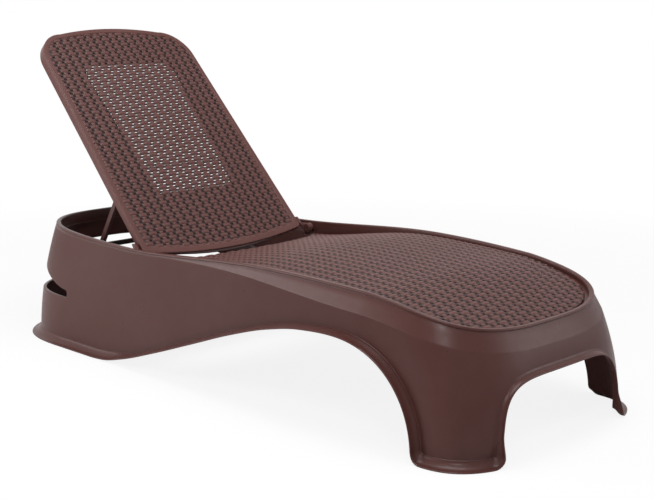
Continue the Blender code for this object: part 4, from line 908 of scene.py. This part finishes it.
def back_place(up, across, height):
    return np.stack(back_spot(up, across, BACK_FACE + height), axis=1)


def narrowed(up):
    """The share of its lower width that the back keeps at this height."""
    return 1 - BACK_TAPER / BACK_HALF * up / BACK_SIDE


def back_outline(inset):
    """The back's outline as (up, across), inset by this much, with small rounds at its lower corners."""
    half, corner, start = BACK_HALF - inset, BACK_CORNER - inset, BACK_START + inset
    ease = BACK_LOW_ROUND / half
    shares = [k / BACK_STEPS - 1 for k in range(2 * BACK_STEPS + 1)]
    foot = []
    for share in shares:
        held = share * (1 - ease)
        foot.append((start - BACK_FOOT_SAG * (1 - held**2), half * held))
    low, side = foot[-1], (start + ease * half, half)
    right = []
    for t in BACK_LOW_SHARES:
        up = (1 - t) ** 2 * low[0] + 2 * t * (1 - t) * start + t * t * side[0]
        right.append((up, (1 - t) ** 2 * low[1] + (2 * t * (1 - t) + t * t) * half))
    for k in range(BACK_STEPS):
        turn = math.pi / 2 * k / BACK_STEPS
        right.append((BACK_SIDE + corner * math.sin(turn), half - corner + corner * math.cos(turn)))
    rise = BACK_SIDE + corner
    top = [(rise + BACK_TOP_RISE * (1 - share**2), -(half - corner) * share) for share in shares]
    left = [(up, -across) for up, across in reversed(right)]
    return [(up, across * narrowed(up)) for up, across in foot + right + top + left]


def back_half_at(up):
    """Half the width of the woven field at this height."""
    half, corner, start = BACK_HALF - BORDER, BACK_CORNER - BORDER, BACK_START + BORDER
    top = BACK_SIDE + corner
    if up < start:
        half *= math.sqrt(max(1 - (start - up) / BACK_FOOT_SAG, 0.0))
    elif BACK_SIDE < up <= top:
        half += corner * math.sqrt(1 - ((up - BACK_SIDE) / corner) ** 2) - corner
    elif up > top:
        half = (half - corner) * math.sqrt(max(1 - (up - top) / BACK_TOP_RISE, 0.0))
    return max(half * narrowed(up), LEAST_HALF)


def loft(rings, closed=False):
    """Faces of a tube through equal rings, capped at its two ends unless it closes on itself."""
    count, around = len(rings), len(rings[0])
    faces = []
    for row in range(count if closed else count - 1):
        here, there = row * around, (row + 1) % count * around
        for side in range(around):
            turn = (side + 1) % around
            faces.append((here + side, here + turn, there + turn, there + side))
    if not closed:
        faces.append(tuple(reversed(range(around))))
        faces.append(tuple(range((count - 1) * around, count * around)))
    return [spot for ring in rings for spot in ring], faces


def together(*solids):
    """Several closed meshes as one list of points and faces."""
    points, faces = [], []
    for some_points, some_faces in solids:
        start = len(points)
        points += list(some_points)
        faces += [tuple(start + corner for corner in face) for face in some_faces]
    return points, faces


def turned(profile, side, sides=48):
    """A solid turned about the hinge axis: the profile is (distance from the middle, radius)."""
    across = Vector((0, side, 0)).orthogonal().normalized()
    up = Vector((0, side, 0)).cross(across)
    rings = []
    for along, radius in profile:
        turns = [2 * math.pi * k / sides for k in range(sides)]
        center = Vector((HINGE_X, side * along, HINGE_Z))
        rings.append([center + (across * math.cos(turn) + up * math.sin(turn)) * radius for turn in turns])
    return loft(rings)


def rounded_block(low, high, edge, place):
    """A block between two corners with its edges eased, placed corner by corner."""
    rings = []
    for level, inset in ((low[2], edge), (low[2] + edge, 0.0), (high[2] - edge, 0.0), (high[2], edge)):
        a, b, c, d = low[0] + inset, high[0] - inset, low[1] + inset, high[1] - inset
        ring = [(a + edge, c), (b - edge, c), (b, c + edge), (b, d - edge)]
        ring += [(b - edge, d), (a + edge, d), (a, d - edge), (a, c + edge)]
        rings.append([place(x, y, level) for x, y in ring])
    return loft(rings)


def tray_ring():
    """The border, the rounded front edge, the skirt and the lip under the woven field."""
    back = BACK_FACE - BACK_DEEP
    section = [(BORDER + inward, BACK_FACE - drop) for inward, drop in BORDER_STEP]
    section += [(BORDER_FLAT_FROM, BACK_FACE)]
    section += arc(BACK_EDGE, BACK_FACE - BACK_EDGE, BACK_EDGE, 90, 180, BACK_EDGE_STEPS)
    section += [(0.0, back + SKIRT_ROUND), (SKIRT_ROUND, back)]
    section += [(BACK_SKIN - SKIRT_ROUND, back), (BACK_SKIN, back + SKIRT_ROUND)]
    section += [(BACK_SKIN, BACK_FACE - BACK_SKIN), (BORDER + BORDER_LIP, BACK_FACE - BACK_SKIN)]
    section += [(BORDER + BORDER_LIP, BACK_FACE - BORDER_LIP_DROP)]
    rings = []
    for inset, level in section:
        ring = []
        for up, across in back_outline(inset):
            share = LOW_SKIRT_SHARE + (1 - LOW_SKIRT_SHARE) * smooth_share(up, 0.0, LOW_SKIRT_REACH)
            ring.append(in_back(up, across, BACK_FACE + (level - BACK_FACE) * share))
        rings.append(ring)
    return loft(rings, closed=True)


def eye(side):
    """An eye on its hinge pin, its arm outside the tray, the block that joins them, and its sleeve."""
    high = BACK_FACE - EYE_ARM_SINK
    low = high - EYE_ARM_HIGH
    start = BACK_HALF + PIN_HEAD + GAP
    turns = [math.pi * (EYE_TURN_SHARE + k / EYE_STEPS) for k in range(EYE_STEPS + 1)]
    outline = [(EYE_RADIUS * math.cos(t), EYE_RADIUS * math.sin(t)) for t in turns]
    flat = EYE_ARM_TO - EYE_ARM_CORNER
    outline += [(EYE_ARM_FROM, low), (flat, low), (EYE_ARM_TO, low + EYE_ARM_CORNER)]
    outline += [(EYE_ARM_TO, high - EYE_ARM_CORNER), (flat, high), (EYE_ARM_FROM, high)]
    sides = ((0.0, EYE_ROUND_SHARE), (EYE_ROUND, 1.0), (EYE_ARM - EYE_ROUND, 1.0), (EYE_ARM, EYE_ROUND_SHARE))
    rings = []
    for level, ease in sides:
        rings.append([in_back(up * ease, -side * (start + level), out * ease) for up, out in outline])
    inside = BACK_HALF - BACK_TAPER * EYE_ARM_TO / BACK_SIDE - BACK_SKIN / 4
    across = sorted((-side * inside, -side * (start + EYE_ARM / 2)))
    block_low = (EYE_ARM_FROM + BACK_EDGE, across[0], low + BACK_EDGE)
    block_high = (EYE_ARM_TO - BACK_EDGE, across[1], high - BACK_EDGE)
    block = rounded_block(block_low, block_high, EYE_EDGE, in_back)
    lip = rim_half(HINGE_X) - RIM_TOP - LIP_BEAD - EYE_WALL_PLAY
    sleeve = [(start + EYE_ARM / 2, EYE_RADIUS - GAP), (lip - EYE_EDGE, EYE_RADIUS - GAP)]
    sleeve += [(lip, EYE_RADIUS - GAP - EYE_EDGE)]
    return together(loft(rings), block, turned(sleeve, side))


def make_back():
    start = BACK_START + BORDER - BACK_FOOT_SAG
    end = BACK_SIDE + BACK_CORNER - BORDER + BACK_TOP_RISE
    under = BACK_SKIN - BACK_SHEET_PLAY
    points, faces, heights = woven_sheet(
        start, end, back_half_at, lambda up: 0.0, back_place, under, BACK_SHEET_ROLL, BACK_SHEET_FALL
    )
    behind = BACK_FACE - BACK_SKIN
    ribs = []
    for number in range(RIB_EVERY, round((end - start) / STRAND_PITCH), RIB_EVERY):
        up = start + (number + 0.5) * STRAND_PITCH
        if WINDOW_FROM < up < WINDOW_TO:
            low = (up - RIB_WIDE / 2, -WINDOW_HALF + RIB_SHORT, behind - RIB_DEEP)
            high = (up + RIB_WIDE / 2, WINDOW_HALF - RIB_SHORT, behind + RIB_SINK)
            ribs.append(rounded_block(low, high, RIB_EDGE, in_back))
    solid = together((points, faces), tray_ring(), *ribs, eye(-1), eye(1))
    finish = woven("woven_back_brown")
    back = piece("woven_back", solid, finish, "back", "back_panel", sharp=60)
    keep_relief(back, heights)


make_back()

# Hinge pins: brown moulded pins with a wide domed head and a shallow groove under it, pushed through the
# back's eyes into the rim's inner lip. They carry the back and let it turn.
PIN_DOME = ((0.0002, 0.45), (0.0008, 0.72), (0.0018, 0.90), (0.0030, 0.985), (0.0040, 1.0))
PIN_TIP, PIN_EDGE, PIN_REACH = 0.0002, 0.0012, 0.030


def make_hinge_pin(name, side):
    inside, rear = BACK_HALF + GAP, BACK_HALF + PIN_HEAD
    profile = [(inside, PIN_TIP)] + [(inside + depth, PIN_HEAD_RADIUS * share) for depth, share in PIN_DOME]
    profile += [(rear - PIN_EDGE, PIN_HEAD_RADIUS), (rear, PIN_HEAD_RADIUS - PIN_EDGE)]
    profile += [(rear, PIN_RADIUS), (BACK_HALF + PIN_REACH, PIN_RADIUS)]
    finish = plastic(f"hinge_pin_brown_{name}", BROWN, BROWN_LIGHT, roughness=0.36, edge_light=0.6)
    solid = turned(profile, side)
    piece(f"domed_pin_{name}", solid, finish, "body", f"hinge_pin_{name}", sharp=40)


make_hinge_pin("near", -1)
make_hinge_pin("far", 1)

# Seat beams: three moulded channels, open below, that run under the seat from wall to wall with cross ribs
# inside. The seat is screwed down to them and they are screwed up into the ledge.
BEAM_PLACES = (0.020, 0.310, 0.590)
BEAM_WIDE, BEAM_HIGH, BEAM_SKIN, BEAM_EDGE = 0.036, 0.030, 0.0035, 0.0020
BEAM_WALL_PLAY, BEAM_SEAT_PLAY, BEAM_STATIONS = 0.010, 0.0005, 24
BEAM_RIBS, BEAM_RIB_LIFT, BEAM_RIB_EDGE = 11, 0.004, 0.0005
# A darker copy of the shell's brown: painted shade for the parts inside the shell and behind the back.
SHADED_BROWN = (0.030, 0.014, 0.013, 1)
SHADED_BROWN_PALE = (0.055, 0.030, 0.028, 1)


def beam_top(x, y):
    edge, crown = seat_middle(x)
    share = min(abs(y) / SEAT_WIDEST, 1.0)
    return edge + crown * (1 - share**2) - SEAT_THICK - BEAM_SEAT_PLAY


def make_seat_beam(number, x):
    wide, skin, ease = BEAM_WIDE / 2, BEAM_SKIN, BEAM_EDGE
    section = [(-wide, -BEAM_HIGH), (-wide, -ease), (-wide + ease, 0), (wide - ease, 0), (wide, -ease)]
    section += [(wide, -BEAM_HIGH), (wide - skin, -BEAM_HIGH), (wide - skin, -skin), (-wide + skin, -skin)]
    section += [(-wide + skin, -BEAM_HIGH)]
    reach = rim_half(x + wide) - BEAM_WALL_PLAY
    rings = []
    for k in range(BEAM_STATIONS + 1):
        y = reach * (2 * k / BEAM_STATIONS - 1)
        rings.append([Vector((x + along, y, beam_top(x + along, y) + level)) for along, level in section])
    ribs = []
    for k in range(1, BEAM_RIBS + 1):
        y = reach * (2 * k / (BEAM_RIBS + 1) - 1)
        low = (x - wide + skin / 2, y - skin / 3, beam_top(x, y) - BEAM_HIGH + BEAM_RIB_LIFT)
        high = (x + wide - skin / 2, y + skin / 3, beam_top(x, y) - skin / 2)
        ribs.append(rounded_block(low, high, BEAM_RIB_EDGE, lambda *spot: Vector(spot)))
    # The beams take the darker copy of the brown, as painted shade under the seat.
    finish = plastic(f"beam_painted_shade_brown_{number}", SHADED_BROWN, SHADED_BROWN_PALE, roughness=0.50, edge_light=0.4, grain_size=700.0)
    name, node = f"channel_beam_{number}", f"seat_beam_{number}"
    piece(name, together(loft(rings), *ribs), finish, "body", node, sharp=40)


for beam_number, beam_place in enumerate(BEAM_PLACES, 1):
    make_seat_beam(beam_number, beam_place)

# Hinge beam and notched rails: moulded bars under the back, in the darker copy of the brown as painted shade.
# The beam runs from wall to wall and holds the rails' foot ends. They keep the imported solids, as every
# piece below does.
# Painted shade: the darker copy of the brown for the inner parts.
INNER_SHADED_PLASTIC = plastic("inner_painted_shade_brown", SHADED_BROWN, SHADED_BROWN_PALE, roughness=0.52, edge_light=0.4, grain_size=700.0)


def dress(finish, *names):
    """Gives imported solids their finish."""
    for name in names:
        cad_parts[name].material_slots[0].material = finish


dress(INNER_SHADED_PLASTIC, "hinge_beam", "notch_rail_near", "notch_rail_far")

# Ring frame: a moulded frame behind the woven tray, in the darker copy of the brown as painted shade, which
# stiffens its border. It is screwed to the tray and has the lugs in which the prop turns.
dress(INNER_SHADED_PLASTIC, "back_frame")

# Prop: two brown arms on pivots in the ring frame's lugs, joined at their feet by a bar that rests on
# the notched rails; the bar is in the darker copy of the brown, as painted shade.
prop_plastic = plastic("prop_brown", BROWN, BROWN_LIGHT, roughness=0.42, edge_light=0.6)
dress(prop_plastic, "prop_arm_near", "prop_arm_far")
dress(INNER_SHADED_PLASTIC, "prop_foot_bar")

# Screws and the prop's pivot pins: bright plated steel. The screws are driven from behind or below, so that
# none shows on the face of the seat or the back.
STEEL, STEEL_LIGHT = (0.42, 0.41, 0.40, 1), (0.5, 0.49, 0.47, 1)
plated_steel = plastic("plated_screw", STEEL, STEEL_LIGHT, roughness=0.34, edge_light=0.2)
plated_steel.node_tree.nodes["Principled BSDF"].inputs["Metallic"].default_value = 1.0
dress(plated_steel, *[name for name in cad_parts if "screw" in name or name.startswith("prop_pin")])
